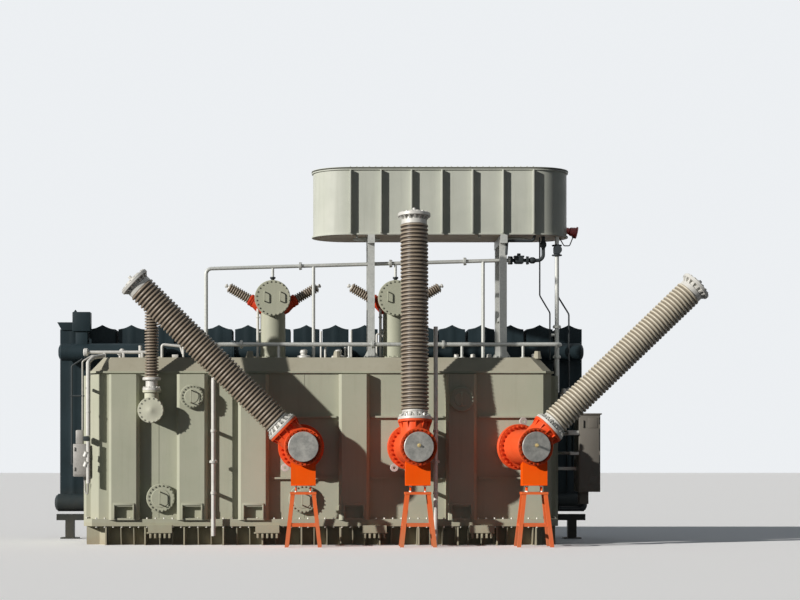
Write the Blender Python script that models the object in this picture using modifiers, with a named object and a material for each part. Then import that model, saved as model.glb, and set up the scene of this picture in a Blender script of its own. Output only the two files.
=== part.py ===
"""Oil-filled power transformer on its skid, in metres, +Z up, its front towards -Y.

The origin is on the ground under the middle of the tank. Three elbow-shaped turrets on the front carry
the long high-voltage bushings, two turrets on the cover carry short side bushings, the conservator stands
above the right half on two frames, and a long bank of panel radiators stands behind the tank.
"""

import math

import bmesh
import bpy
from mathutils import Matrix, Vector

# The gap between pieces that touch, how deep a welded piece runs into its carrier, how far a cutter
# overruns, and how near two corners of one mesh are before they are merged
SEAT_GAP = 0.0003
WELD_DEPTH = 0.02
CUT_OVERRUN = 0.05
MERGE_DISTANCE = 0.00005

# How finely round pieces are divided
LARGE_SIDES = 16
SMALL_SIDES = 8
BEND_STEPS = 3
BAR_RESOLUTION = 1
PIPE_RESOLUTION = 2
STADIUM_STEPS = 8

# Skid and tank
TANK_LENGTH = 9.74
TANK_DEPTH = 3.2
TANK_CORNER = 0.19
TANK_WALL_HEIGHT = 3.11
SKID_HEIGHT = 0.4
SKID_INSET = 0.16
RIM_THICKNESS = 0.075
RIM_REACH = 0.13
LEDGE_THICKNESS = 0.04
LEDGE_REACH = 0.05
COVER_RISE = 0.3
COVER_INSET = 0.25
BOSS_PLACES = (-3.6, -1.51, 0.34, 4.6)
BOSS_SPREAD = 1.2
BOSS_RADIUS = 0.09
BOSS_CROWN_RADIUS = 0.06
BOSS_HEIGHT = 0.14
GUSSET_THICKNESS = 0.03
GUSSETS_ALONG = 12
GUSSETS_ACROSS = 4
GUSSET_SETBACK = 0.03
PAD_WIDTH = 0.5
PAD_HEIGHT = 0.16
PAD_REACH = 0.1
PAD_SHARES = (-0.3465, -0.1155, 0.1155, 0.3465)

# Box stiffeners welded to the tank, and flat ribs between those on the front
STIFFENER_WIDTH = 0.64
STIFFENER_DEPTH = 0.2
STIFFENER_CORNER = 0.06
STIFFENER_TOP_MARGIN = 0.07
STIFFENER_SHARES = (-0.4245, -0.2777, -0.1458, 0.0714, 0.3024)
REAR_STIFFENER_SHARES = (-0.3, -0.1, 0.1, 0.3)
END_STIFFENER_SHARES = (-0.2, 0.2)
JACK_SLOT_WIDTH = 0.38
JACK_SLOT_HEIGHT = 0.24
JACK_SLOT_DEPTH = 0.12
RIB_REACH = 0.08
RIB_THICKNESS = 0.04
RIB_MARGIN = 0.05
RIB_HEIGHTS = (1.41, 2.7)
RIB_BAYS = (2, 3, 4)
RIB_END_SHARE = 0.475

# Round bolted hatches on the front: place along the tank, height, radius, and whether on a stiffener
HATCH_NAMES = ("hatch_lower_left", "hatch_lower_middle", "hatch_upper_left", "hatch_upper_right")
HATCH_LENGTH_SHARES = (-0.346, -0.039, -0.2777, 0.3024)
HATCH_HEIGHTS = (0.99, 0.97, 3.12, 3.06)
HATCH_RADII = (0.3, 0.3, 0.25, 0.26)
HATCH_ON_STIFFENER = (False, False, True, True)
HATCH_NECK = 0.07
HATCH_NECK_STEP = 0.05
HATCH_PLATE = 0.04
HANDLE_SPAN = 0.26
HANDLE_REACH = 0.07
HANDLE_RADIUS = 0.012
HANDLE_RISE = 0.1

# High-voltage turrets: a nozzle on the tank, a ring joint, a yawed body and a bushing stub
HV_NAMES = ("left", "centre", "right")
HV_PITCH = 2.275
HV_OFFSET = 1.86
HV_HEIGHT = 2.06
HV_YAW_DEGREES = (3.2, 8.7, 16.9)
HV_TILT_DEGREES = (-45.5, 5.0, 46.4)
HV_LEAN_DEGREES = (2.0, 90.0, 5.0)
NOZZLE_RADIUS = 0.4
NOZZLE_LENGTH = 0.38
RING_RADIUS = 0.48
RING_THICKNESS = 0.1
BODY_RADIUS = 0.36
BODY_LENGTH = 0.91
FRONT_RING_THICKNESS = 0.06
FRONT_RING_STEP = 0.03
BLANK_RADIUS = 0.31
BLANK_THICKNESS = 0.045
ELBOW_SETBACK = 0.37
STUB_RADIUS = 0.3
STUB_LENGTH = 0.56
STUB_FLANGE_RADIUS = 0.355
STUB_FLANGE_THICKNESS = 0.05

# Long porcelain bushings, measured along their own axis
BUSHING_LENGTH = 4.88
FOOT_FLANGE_RADIUS = 0.355
FOOT_FLANGE_THICKNESS = 0.06
FOOT_LENGTH = 0.2
FOOT_RADIUS = 0.27
HEAD_LENGTH = 0.24
HEAD_FLANGE_RADIUS = 0.34
HEAD_FLANGE_THICKNESS = 0.06
HEAD_RADIUS = 0.26
CAP_RISE = 0.05
HEAD_CROWN_RADIUS = 0.21
TERMINAL_RADIUS = 0.035
TERMINAL_LENGTH = 0.12
PORCELAIN_RADIUS = 0.232
SHED_RADIUS = 0.29
SHED_COUNT = 15
SHED_DROP_SHARE = 0.3
PORCELAIN_SIDES = 12

# Saddles with jack screws, and the trestles under them
SADDLE_WIDTH = 0.51
SADDLE_DEPTH = 0.46
SADDLE_HEIGHT = 0.51
SADDLE_RISE = 0.07
SADDLE_SETBACK = 0.4
CRADLE_GAP = 0.0006
SCREW_RADIUS = 0.015
SCREW_LENGTH = 0.13
SCREW_INSET = 0.105
TRESTLE_TOP_WIDTH = 0.54
TRESTLE_TOP_THICKNESS = 0.05
TRESTLE_FOOT_WIDTH = 0.76
TRESTLE_LEG = 0.08
TRESTLE_LEG_INSET = 0.015
TRESTLE_BAR_HEIGHT = 0.45
TRESTLE_BAR = 0.06

# Neutral elbow on the left of the front, with its upright bushing
NEUTRAL_SHARE = -0.364
NEUTRAL_HEIGHT = 2.83
NEUTRAL_RADIUS = 0.23
NEUTRAL_LENGTH = 0.5
NEUTRAL_FLANGE_RADIUS = 0.27
NEUTRAL_FLANGE_THICKNESS = 0.05
NEUTRAL_SETBACK = 0.25
NEUTRAL_STUB_RADIUS = 0.15
NEUTRAL_STUB_LENGTH = 0.42
NEUTRAL_STUB_FLANGE = 0.19
NEUTRAL_SPOOL_LENGTH = 0.26
NEUTRAL_PORCELAIN_LENGTH = 1.62
NEUTRAL_CORE_RADIUS = 0.105
NEUTRAL_SHED_RADIUS = 0.148
NEUTRAL_SHED_COUNT = 10
NEUTRAL_CAP_LENGTH = 0.14
NEUTRAL_CAP_RADIUS = 0.1

# Turrets on the cover: an upright column, a drum across it and two raised side bushings
LV_NAMES = ("left", "right")
LV_PLACES = (-1.04, 1.61)
LV_DEPTH_PLACE = -0.3
LV_COLUMN_RADIUS = 0.27
LV_FLANGE_RADIUS = 0.34
LV_FLANGE_THICKNESS = 0.05
LV_DRUM_RADIUS = 0.385
LV_DRUM_LENGTH = 0.76
LV_DRUM_HEIGHT = 1.31
LV_DRUM_COVER_STEP = 0.03
LV_DRUM_COVER_THICKNESS = 0.04
LV_HANDLE_PLACE = 0.17
LV_HANDLE_RISE = 0.03
LV_BUSHING_HEIGHT = 1.02
LV_BUSHING_RISE_DEGREES = 30.0
LV_STUB_LENGTH = 0.53
LV_STUB_RADIUS = 0.115
LV_BUSHING_LENGTH = 0.66
LV_BASE_LENGTH = 0.06
LV_BASE_RADIUS = 0.13
LV_CORE_RADIUS = 0.062
LV_SHED_RADIUS = 0.105
LV_SHED_COUNT = 5
LV_CAP_LENGTH = 0.1
LV_CAP_RADIUS = 0.07

# Conservator with its lid, ribs, frames and level gauge
CONSERVATOR_CENTRE = 2.59
CONSERVATOR_LENGTH = 5.52
CONSERVATOR_WIDTH = 1.6
CONSERVATOR_BOTTOM = 6.62
CONSERVATOR_HEIGHT = 1.42
LID_THICKNESS = 0.05
LID_REACH = 0.03
CONSERVATOR_RIBS = 7
CONSERVATOR_RIB_REACH = 0.11
CONSERVATOR_RIB_WIDTH = 0.04
FRAME_PLACES = (1.08, 3.92)
FRAME_SPREAD = 1.2
FRAME_POST = 0.15
FRAME_BEAM_HEIGHT = 0.18
FRAME_BEAM_OVERHANG = 0.16
FRAME_FOOT = 0.34
FRAME_FOOT_THICKNESS = 0.03
FRAME_RAIL_HEIGHT = 0.9
FRAME_RAIL = 0.08
GAUGE_RADIUS = 0.13
GAUGE_LENGTH = 0.2
GAUGE_HEIGHT = 0.17
GAUGE_NECK_RADIUS = 0.07
GAUGE_NECK_LENGTH = 0.06

# High pipe with the gas relay, and the pipe along the cover with the riser
RELAY_PIPE_RADIUS = 0.04
RELAY_PIPE_PLACE = -0.45
RELAY_PIPE_START = -2.48
RELAY_PIPE_LOW = 5.92
RELAY_PIPE_HIGH = 6.1
RELAY_PIPE_BEND = 0.12
RELAY_PLACE = 4.06
RELAY_LEVEL_RUN = 0.15
RELAY_LENGTH = 0.42
RELAY_HEIGHT = 0.26
RELAY_WIDTH = 0.22
RELAY_FLANGE_RADIUS = 0.09
RELAY_FLANGE_THICKNESS = 0.025
RELAY_RISE_PLACE = 4.8
STAY_PLACES = (-0.16, 3.5)
STAY_RADIUS = 0.03
STAY_FOOT_RADIUS = 0.08
STAY_FOOT_THICKNESS = 0.02
DECK_PIPE_RADIUS = 0.045
DECK_PIPE_HEIGHT = 0.29
DECK_PIPE_PLACE = -1.1
DECK_PIPE_START = -2.9
DECK_PIPE_BEND = 0.14
DECK_LEG_PLACES = (-2.6, -0.9, 0.6, 3.0, 4.3)
DECK_LEG_RADIUS = 0.03
RISER_PLACE = 5.1
RISER_DEPTH_PLACE = -0.4
RISER_JOINT_HEIGHT = 0.7
RISER_FLANGE_RADIUS = 0.09
RISER_VALVE_RADIUS = 0.11
RISER_VALVE_LENGTH = 0.24
RISER_VALVE_DROP = 0.3

# Two pipes up the front of the tank
FRONT_PIPE_RADIUS = 0.045
FRONT_PIPE_REACH = 0.3
FRONT_PIPE_BEND = 0.12
DRAIN_PIPE_PLACE = -2.25
DRAIN_PIPE_BOTTOM = 0.2
DRAIN_PIPE_TOP = 3.52
FILL_PIPE_PLACE = 2.4
FILL_PIPE_TOP_RISE = 0.62
CLIP_HEIGHTS = (1.1, 2.4)
CLIP_WIDTH = 0.1
CLIP_HEIGHT = 0.05

# Radiator bank behind the tank
RADIATORS = 18
BANKS = 3
RADIATOR_PITCH = 0.669
PANEL_WIDTH = 0.6
PANEL_THICKNESS = 0.03
PANEL_BOTTOM_RISE = 0.06
PANEL_TOP = 4.89
PANEL_SHOULDER = 0.1
PANELS = 4
PANEL_PITCH = 0.34
MANIFOLD_WIDTH = 0.08
MANIFOLD_MARGIN = 0.08
HEADER_RADIUS = 0.2
HEADER_SIDES = 12
HEADER_BACK = 0.55
HEADER_UPPER = 4.25
HEADER_LOWER = 0.82
HEADER_INSETS = (0.11, 0.03)
HEADER_DISH = 0.08
HEADER_DISH_SHARES = (0.95, 0.5)
HEADER_FLANGE_RADIUS = 0.27
HEADER_FLANGE_THICKNESS = 0.04
HEADER_STUB = 0.12
LINK_RADIUS = 0.13
STAND_POSTS = 6
STAND_POST = 0.2
STAND_BEAM_HEIGHT = 0.14
STAND_FOOT = 0.4
STAND_FOOT_THICKNESS = 0.03

# What stands at the ends of the bank: a box on a neck on the left header, and a flared cap at both ends
NECK_PLACE = -5.45
NECK_WIDTH = 0.27
NECK_TOP = 4.72
NECK_BOX_WIDTH = 0.41
NECK_BOX_DEPTH = 0.3
NECK_BOX_TOP = 5.16
CAP_INNER = 5.66
CAP_OUTER = 6.05
CAP_FLARE = 0.1
CAP_BOTTOM = 4.77
CAP_TOP = 4.95

# Boxes at the two ends
JUNCTION_WIDTH = 0.31
JUNCTION_DEPTH = 0.5
JUNCTION_BOTTOM = 1.44
JUNCTION_HEIGHT = 0.69
JUNCTION_STANDOFF = 0.05
JUNCTION_PLACE = -1.26
JUNCTION_HEAD_WIDTH = 0.155
JUNCTION_HEAD_DEPTH = 0.2
JUNCTION_HEAD_HEIGHT = 0.29
JUNCTION_HEAD_SHIFT = -0.04
CONDUIT_RADIUS = 0.04
CONDUIT_BEND = 0.1
CONDUIT_DROP = 0.35
CONDUIT_TOP = 3.88
CONDUIT_OUTSET = 0.03
CONDUIT_REACH = 0.06
CONDUIT_CLIP_WIDTH = 0.12
CONDUIT_CLIP_HEIGHT = 0.1
BOX_ARM = 0.07
CABINET_WIDTH = 0.46
CABINET_DEPTH = 0.9
CABINET_BOTTOM = 1.11
CABINET_HEIGHT = 1.66
CABINET_STANDOFF = 0.62
CABINET_ROOF_THICKNESS = 0.03
CABINET_ROOF_REACH = 0.03
ARM_SHARES = (0.3, 0.75)

# Places worked out from the sizes above
RIM_JOINT = SKID_HEIGHT + RIM_THICKNESS
TANK_FLOOR = RIM_JOINT + SEAT_GAP + RIM_THICKNESS
TANK_TOP = TANK_FLOOR + TANK_WALL_HEIGHT
COVER_BOTTOM = TANK_TOP + SEAT_GAP
COVER_TOP = COVER_BOTTOM + COVER_RISE
DECK = COVER_TOP + SEAT_GAP
TANK_FRONT = -TANK_DEPTH / 2
TANK_REAR = TANK_DEPTH / 2
TANK_END = TANK_LENGTH / 2
HEADER_PLACE = TANK_REAR + HEADER_BACK
PANEL_PLACE = HEADER_PLACE + HEADER_RADIUS + HEADER_STUB
PANEL_BOTTOM = HEADER_LOWER + PANEL_BOTTOM_RISE
CONSERVATOR_TOP = CONSERVATOR_BOTTOM + CONSERVATOR_HEIGHT
CABINET_PLACE = END_STIFFENER_SHARES[0] * TANK_DEPTH

COLOURS = {
    "tank_paint": ((0.37, 0.38, 0.31), 0.5, 0.0),
    "skid_paint": ((0.37, 0.38, 0.31), 0.6, 0.0),
    "orange_primer": ((0.86, 0.1, 0.02), 0.5, 0.0),
    "galvanised": ((0.4, 0.41, 0.42), 0.4, 0.9),
    "cast_metal": ((0.6, 0.6, 0.58), 0.4, 0.8),
    "brown_porcelain": ((0.19, 0.14, 0.1), 0.25, 0.0),
    "conservator_paint": ((0.46, 0.47, 0.4), 0.45, 0.0),
    "radiator_paint": ((0.05, 0.06, 0.07), 0.5, 0.0),
    "cabinet_paint": ((0.13, 0.11, 0.1), 0.5, 0.0),
    "gauge_red": ((0.4, 0.02, 0.02), 0.4, 0.0),
}


def clear_scene():
    for obj in list(bpy.data.objects):
        bpy.data.objects.remove(obj, do_unlink=True)


def new_collection(name, parent):
    collection = bpy.data.collections.new(name)
    parent.children.link(collection)
    return collection


def material(name):
    colour, roughness, metallic = COLOURS[name]
    made = bpy.data.materials.get(name) or bpy.data.materials.new(name)
    made.use_nodes = True
    shader = made.node_tree.nodes["Principled BSDF"]
    shader.inputs["Base Color"].default_value = (*colour, 1)
    shader.inputs["Roughness"].default_value = roughness
    shader.inputs["Metallic"].default_value = metallic
    return made


def shape(name, bm):
    """A helper shape; a finished piece is made from one or more of them by assemble."""
    bmesh.ops.recalc_face_normals(bm, faces=bm.faces)
    mesh = bpy.data.meshes.new(name)
    bm.to_mesh(mesh)
    bm.free()
    obj = bpy.data.objects.new(name, mesh)
    helpers.objects.link(obj)
    return obj


def place(obj, matrix):
    obj.data.transform(matrix)
    return obj


def block(name, size, centre):
    bm = bmesh.new()
    bmesh.ops.create_cube(bm, size=1)
    bmesh.ops.scale(bm, vec=size, verts=bm.verts)
    bmesh.ops.translate(bm, vec=centre, verts=bm.verts)
    return shape(name, bm)


def leg(name, width, foot, top):
    """A square leg from foot to top, with both ends level."""
    bm = bmesh.new()
    bmesh.ops.create_cube(bm, size=1)
    height = top[2] - foot[2]
    bmesh.ops.scale(bm, vec=(width, width, height), verts=bm.verts)
    lower = [vert for vert in bm.verts if vert.co.z < 0]
    upper = [vert for vert in bm.verts if vert.co.z > 0]
    bmesh.ops.translate(bm, vec=Vector(foot) + Vector((0, 0, height / 2)), verts=lower)
    bmesh.ops.translate(bm, vec=Vector(top) - Vector((0, 0, height / 2)), verts=upper)
    return shape(name, bm)


def prism(name, outline, bottom, top, top_outline=None):
    """A level outline raised from bottom to top; top_outline makes it taper."""
    bm = bmesh.new()
    lower = [bm.verts.new((x, y, bottom)) for x, y in outline]
    raised = bmesh.ops.extrude_face_region(bm, geom=[bm.faces.new(lower)])
    upper = [item for item in raised["geom"] if isinstance(item, bmesh.types.BMVert)]
    ends = top_outline or outline
    for vert in upper:
        nearest = min(range(len(outline)), key=lambda i: (vert.co.xy - Vector(outline[i])).length)
        vert.co = (*ends[nearest], top)
    return shape(name, bm)


def rod(name, radius, start, end, sides=LARGE_SIDES, end_radius=None):
    start, end = Vector(start), Vector(end)
    axis = end - start
    bm = bmesh.new()
    last = radius if end_radius is None else end_radius
    bmesh.ops.create_cone(
        bm, cap_ends=True, segments=sides, radius1=radius, radius2=last, depth=axis.length
    )
    turn = axis.to_track_quat("Z", "Y").to_matrix().to_4x4()
    bmesh.ops.transform(bm, matrix=Matrix.Translation((start + end) / 2) @ turn, verts=bm.verts)
    return shape(name, bm)


def turned(name, profile, sides, origin=(0, 0, 0), axis=(0, 0, 1)):
    """A solid of revolution: profile lists (radius, distance along the axis) from the far end back."""
    mesh = bpy.data.meshes.new(name)
    points = [(radius, 0, along) for radius, along in profile]
    mesh.from_pydata(points, [(i, i + 1) for i in range(len(points) - 1)], [])
    obj = bpy.data.objects.new(name, mesh)
    helpers.objects.link(obj)
    turn = Vector(axis).to_track_quat("Z", "Y").to_matrix().to_4x4()
    obj.matrix_world = Matrix.Translation(Vector(origin)) @ turn
    screw = obj.modifiers.new("turn", "SCREW")
    screw.steps = sides
    screw.render_steps = sides
    screw.use_merge_vertices = True
    screw.merge_threshold = MERGE_DISTANCE
    return obj


def rounded_route(points, bend):
    """The points of a route with each corner replaced by an arc."""
    points = [Vector(point) for point in points]
    route = [points[0]]
    for before, corner, after in zip(points, points[1:], points[2:]):
        away, on = (before - corner).normalized(), (after - corner).normalized()
        half = away.angle(on) / 2
        centre = corner + (away + on).normalized() * bend / math.sin(half)
        first = corner + away * bend / math.tan(half) - centre
        last = corner + on * bend / math.tan(half) - centre
        turn = first.rotation_difference(last)
        route += [
            centre + Matrix.Rotation(turn.angle * i / BEND_STEPS, 3, turn.axis) @ first
            for i in range(BEND_STEPS + 1)
        ]
    return route + [points[-1]]


def pipe(name, points, radius, bend, resolution=PIPE_RESOLUTION):
    """A round pipe with bent corners, as a closed mesh."""
    curve = bpy.data.curves.new(name, "CURVE")
    curve.dimensions = "3D"
    curve.bevel_depth = radius
    curve.bevel_resolution = resolution
    curve.use_fill_caps = True
    spline = curve.splines.new("POLY")
    route = rounded_route(points, bend) if len(points) > 2 else [Vector(point) for point in points]
    spline.points.add(len(route) - 1)
    for point, at in zip(spline.points, route):
        point.co = (*at, 1)
    guide = bpy.data.objects.new(name, curve)
    helpers.objects.link(guide)
    bpy.context.view_layer.update()
    evaluated = guide.evaluated_get(bpy.context.evaluated_depsgraph_get())
    bm = bmesh.new()
    bm.from_mesh(bpy.data.meshes.new_from_object(evaluated))
    bpy.data.objects.remove(guide, do_unlink=True)
    bmesh.ops.remove_doubles(bm, verts=bm.verts, dist=MERGE_DISTANCE)
    return shape(name, bm)


def assemble(name, paint, pieces, cutters=()):
    """Makes one finished piece: the first shape, with the others welded on and the cutters taken out."""
    body = pieces[0]
    helpers.objects.unlink(body)
    parts.objects.link(body)
    body.name = name
    body.data.name = name
    body.data.materials.append(material(paint))
    for operation, shapes in (("UNION", pieces[1:]), ("DIFFERENCE", cutters)):
        if shapes:
            group = new_collection(f"{name}_{operation.lower()}", helpers)
            for other in shapes:
                helpers.objects.unlink(other)
                group.objects.link(other)
                other.hide_render = True
                other.display_type = "WIRE"
            modifier = body.modifiers.new(operation.lower(), "BOOLEAN")
            modifier.operation = operation
            modifier.operand_type = "COLLECTION"
            modifier.collection = group
            modifier.solver = "EXACT"
    return body


def tank_outline(length, depth, corner):
    """The plan of the tank: a rectangle with its four corners cut off."""
    x, y = length / 2, depth / 2
    return [
        (-x + corner, -y),
        (x - corner, -y),
        (x, -y + corner),
        (x, y - corner),
        (x - corner, y),
        (-x + corner, y),
        (-x, y - corner),
        (-x, -y + corner),
    ]


def stadium_outline(length, width):
    """The plan of the conservator: straight sides and half-round ends."""
    radius = width / 2
    points = []
    for centre, start in ((length / 2 - radius, -math.pi / 2), (radius - length / 2, math.pi / 2)):
        for step in range(STADIUM_STEPS + 1):
            angle = start + math.pi * step / STADIUM_STEPS
            points.append((centre + radius * math.cos(angle), radius * math.sin(angle)))
    return points


def spread(count, span):
    """Evenly spaced places over a span centred on zero, ends included."""
    return [span * (i / (count - 1) - 1 / 2) for i in range(count)]


def shed_profile(core, rim, bottom, top, count):
    """The outline of a stack of porcelain sheds, from its top down; each shed slopes down to its rim."""
    pitch = (top - bottom) / count
    points = []
    for i in reversed(range(count)):
        upper = bottom + pitch * (i + 1)
        points += [(core, upper), (rim, upper - pitch * (1 - SHED_DROP_SHARE))]
    return points + [(core, bottom)]


def skid():
    pan = prism(
        "pan",
        tank_outline(TANK_LENGTH - 2 * SKID_INSET, TANK_DEPTH - 2 * SKID_INSET, TANK_CORNER),
        0,
        SKID_HEIGHT + WELD_DEPTH,
    )
    rim = prism(
        "rim",
        tank_outline(TANK_LENGTH + 2 * RIM_REACH, TANK_DEPTH + 2 * RIM_REACH, TANK_CORNER),
        SKID_HEIGHT,
        RIM_JOINT,
    )
    pieces = [pan, rim]
    reach = SKID_INSET + RIM_REACH - GUSSET_SETBACK + WELD_DEPTH
    height = SKID_HEIGHT + WELD_DEPTH
    for side in (-1, 1):
        y = side * (TANK_REAR - SKID_INSET + reach / 2 - WELD_DEPTH)
        for x in spread(GUSSETS_ALONG, TANK_LENGTH - 2 * (SKID_INSET + TANK_CORNER)):
            pieces.append(block("gusset", (GUSSET_THICKNESS, reach, height), (x, y, height / 2)))
        for share in PAD_SHARES:
            y_pad = side * (TANK_REAR + RIM_REACH - GUSSET_SETBACK + PAD_REACH / 2)
            z_pad = SKID_HEIGHT - PAD_HEIGHT / 2 + WELD_DEPTH
            size = (PAD_WIDTH, PAD_REACH + 2 * GUSSET_SETBACK, PAD_HEIGHT)
            pieces.append(block("pad", size, (share * TANK_LENGTH, y_pad, z_pad)))
        x = side * (TANK_END - SKID_INSET + reach / 2 - WELD_DEPTH)
        for y in spread(GUSSETS_ACROSS, TANK_DEPTH - 2 * (SKID_INSET + TANK_CORNER)):
            pieces.append(block("gusset", (reach, GUSSET_THICKNESS, height), (x, y, height / 2)))
    return assemble("skid", "skid_paint", pieces)


def stiffener_outline():
    """The plan of a box stiffener on a wall at y = 0, its face towards -y and its outer corners cut."""
    x = STIFFENER_WIDTH / 2
    return [
        (-x, WELD_DEPTH),
        (-x, -STIFFENER_DEPTH + STIFFENER_CORNER),
        (-x + STIFFENER_CORNER, -STIFFENER_DEPTH),
        (x - STIFFENER_CORNER, -STIFFENER_DEPTH),
        (x, -STIFFENER_DEPTH + STIFFENER_CORNER),
        (x, WELD_DEPTH),
    ]


def stiffener(turn_degrees, at):
    top = TANK_TOP - STIFFENER_TOP_MARGIN
    made = prism("stiffener", stiffener_outline(), TANK_FLOOR - WELD_DEPTH, top)
    turn = Matrix.Rotation(math.radians(turn_degrees), 4, "Z")
    return place(made, Matrix.Translation(at) @ turn)


def tank_body():
    walls = prism(
        "walls", tank_outline(TANK_LENGTH, TANK_DEPTH, TANK_CORNER), RIM_JOINT + SEAT_GAP, TANK_TOP
    )
    rim = prism(
        "rim",
        tank_outline(TANK_LENGTH + 2 * RIM_REACH, TANK_DEPTH + 2 * RIM_REACH, TANK_CORNER),
        RIM_JOINT + SEAT_GAP,
        TANK_FLOOR,
    )
    ledge = prism(
        "ledge",
        tank_outline(TANK_LENGTH + 2 * LEDGE_REACH, TANK_DEPTH + 2 * LEDGE_REACH, TANK_CORNER),
        TANK_TOP - LEDGE_THICKNESS,
        TANK_TOP,
    )
    pieces = [walls, rim, ledge]
    slots = []
    for share in STIFFENER_SHARES:
        x = share * TANK_LENGTH
        pieces.append(stiffener(0, (x, TANK_FRONT, 0)))
        size = (JACK_SLOT_WIDTH, JACK_SLOT_DEPTH + CUT_OVERRUN, JACK_SLOT_HEIGHT)
        y = TANK_FRONT - STIFFENER_DEPTH + (JACK_SLOT_DEPTH - CUT_OVERRUN) / 2
        slots.append(block("jack_slot", size, (x, y, TANK_FLOOR + WELD_DEPTH + JACK_SLOT_HEIGHT / 2)))
    for share in REAR_STIFFENER_SHARES:
        pieces.append(stiffener(180, (share * TANK_LENGTH, TANK_REAR, 0)))
    for share in END_STIFFENER_SHARES:
        pieces.append(stiffener(90, (TANK_END, share * TANK_DEPTH, 0)))
        pieces.append(stiffener(-90, (-TANK_END, share * TANK_DEPTH, 0)))
    for bay in RIB_BAYS:
        left = STIFFENER_SHARES[bay] * TANK_LENGTH + STIFFENER_WIDTH / 2 + RIB_MARGIN
        right = RIB_END_SHARE * TANK_LENGTH
        if bay + 1 < len(STIFFENER_SHARES):
            right = STIFFENER_SHARES[bay + 1] * TANK_LENGTH - STIFFENER_WIDTH / 2 - RIB_MARGIN
        for z in RIB_HEIGHTS:
            size = (right - left, RIB_REACH + WELD_DEPTH, RIB_THICKNESS)
            y = TANK_FRONT - (RIB_REACH - WELD_DEPTH) / 2
            pieces.append(block("rib", size, ((left + right) / 2, y, z)))
    return assemble("tank_body", "tank_paint", pieces, slots)


def tank_cover():
    lower = tank_outline(TANK_LENGTH, TANK_DEPTH, TANK_CORNER)
    upper = tank_outline(TANK_LENGTH - 2 * COVER_INSET, TANK_DEPTH - 2 * COVER_INSET, TANK_CORNER)
    pieces = [prism("cover", lower, COVER_BOTTOM, COVER_TOP, upper)]
    for x in BOSS_PLACES:
        for y in (-BOSS_SPREAD, BOSS_SPREAD):
            root, crown = (x, y, COVER_TOP - WELD_DEPTH), (x, y, COVER_TOP + BOSS_HEIGHT)
            pieces.append(rod("boss", BOSS_RADIUS, root, crown, SMALL_SIDES, BOSS_CROWN_RADIUS))
    return assemble("tank_cover", "tank_paint", pieces)


def handle(centre, out, across):
    """A bent bar handle that stands off a flat face; its ends run into the face."""
    centre, out, across = Vector(centre), Vector(out), Vector(across)
    half = across * HANDLE_SPAN / 2
    points = [
        centre - half - out * WELD_DEPTH,
        centre - half + out * HANDLE_REACH,
        centre + half + out * HANDLE_REACH,
        centre + half - out * WELD_DEPTH,
    ]
    return pipe("handle", points, HANDLE_RADIUS, 2 * HANDLE_RADIUS, BAR_RESOLUTION)


def hatches():
    rows = zip(HATCH_NAMES, HATCH_LENGTH_SHARES, HATCH_HEIGHTS, HATCH_RADII, HATCH_ON_STIFFENER)
    for name, share, height, radius, on_stiffener in rows:
        seat = TANK_FRONT - (STIFFENER_DEPTH if on_stiffener else 0) - SEAT_GAP
        neck = radius - HATCH_NECK_STEP
        profile = [
            (0, HATCH_NECK + HATCH_PLATE),
            (radius, HATCH_NECK + HATCH_PLATE),
            (radius, HATCH_NECK),
            (neck, HATCH_NECK),
            (neck, 0),
            (0, 0),
        ]
        at = (share * TANK_LENGTH, seat, height)
        disc = turned(name, profile, LARGE_SIDES, at, (0, -1, 0))
        face = Vector(at) + Vector((0, -HATCH_NECK - HATCH_PLATE, HANDLE_RISE))
        assemble(name, "tank_paint", [disc, handle(face, (0, -1, 0), (1, 0, 0))])


def direction(tilt_degrees, lean_degrees):
    """A unit vector tilted from upright towards +X, in a plane turned from X by the lean."""
    tilt, lean = math.radians(tilt_degrees), math.radians(lean_degrees)
    return Vector(
        (math.sin(tilt) * math.cos(lean), math.sin(tilt) * math.sin(lean), math.cos(tilt))
    )


def hv_turret(index):
    """One turret with its blank cover, bushing, saddle and trestle."""
    name = HV_NAMES[index]
    yaw = math.radians(HV_YAW_DEGREES[index])
    forward = Vector((math.sin(yaw), -math.cos(yaw), 0))
    up = direction(HV_TILT_DEGREES[index], HV_LEAN_DEGREES[index])
    wall = Vector((HV_OFFSET + HV_PITCH * (index - 1), TANK_FRONT - SEAT_GAP, HV_HEIGHT))
    ring = wall - Vector((0, NOZZLE_LENGTH, 0))
    front = ring + forward * BODY_LENGTH
    elbow = front - forward * ELBOW_SETBACK
    stub_end = elbow + up * STUB_LENGTH
    pieces = [
        rod("body", BODY_RADIUS, ring, front),
        rod("nozzle", NOZZLE_RADIUS, wall, ring + Vector((0, -WELD_DEPTH, 0))),
        rod("ring", RING_RADIUS, ring - forward * RING_THICKNESS / 2, ring + forward * RING_THICKNESS / 2),
        rod(
            "front_ring",
            BODY_RADIUS + FRONT_RING_STEP,
            front - forward * FRONT_RING_THICKNESS,
            front,
        ),
        rod("stub", STUB_RADIUS, elbow, stub_end),
        rod("stub_flange", STUB_FLANGE_RADIUS, stub_end - up * STUB_FLANGE_THICKNESS, stub_end),
    ]
    assemble(f"hv_{name}_turret", "orange_primer", pieces)

    seat = front + forward * SEAT_GAP
    blank = rod("blank", BLANK_RADIUS, seat, seat + forward * BLANK_THICKNESS)
    assemble(f"hv_{name}_blank_cover", "galvanised", [blank])

    hv_bushing(name, stub_end + up * SEAT_GAP, up)
    hv_support(name, front, forward)


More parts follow.
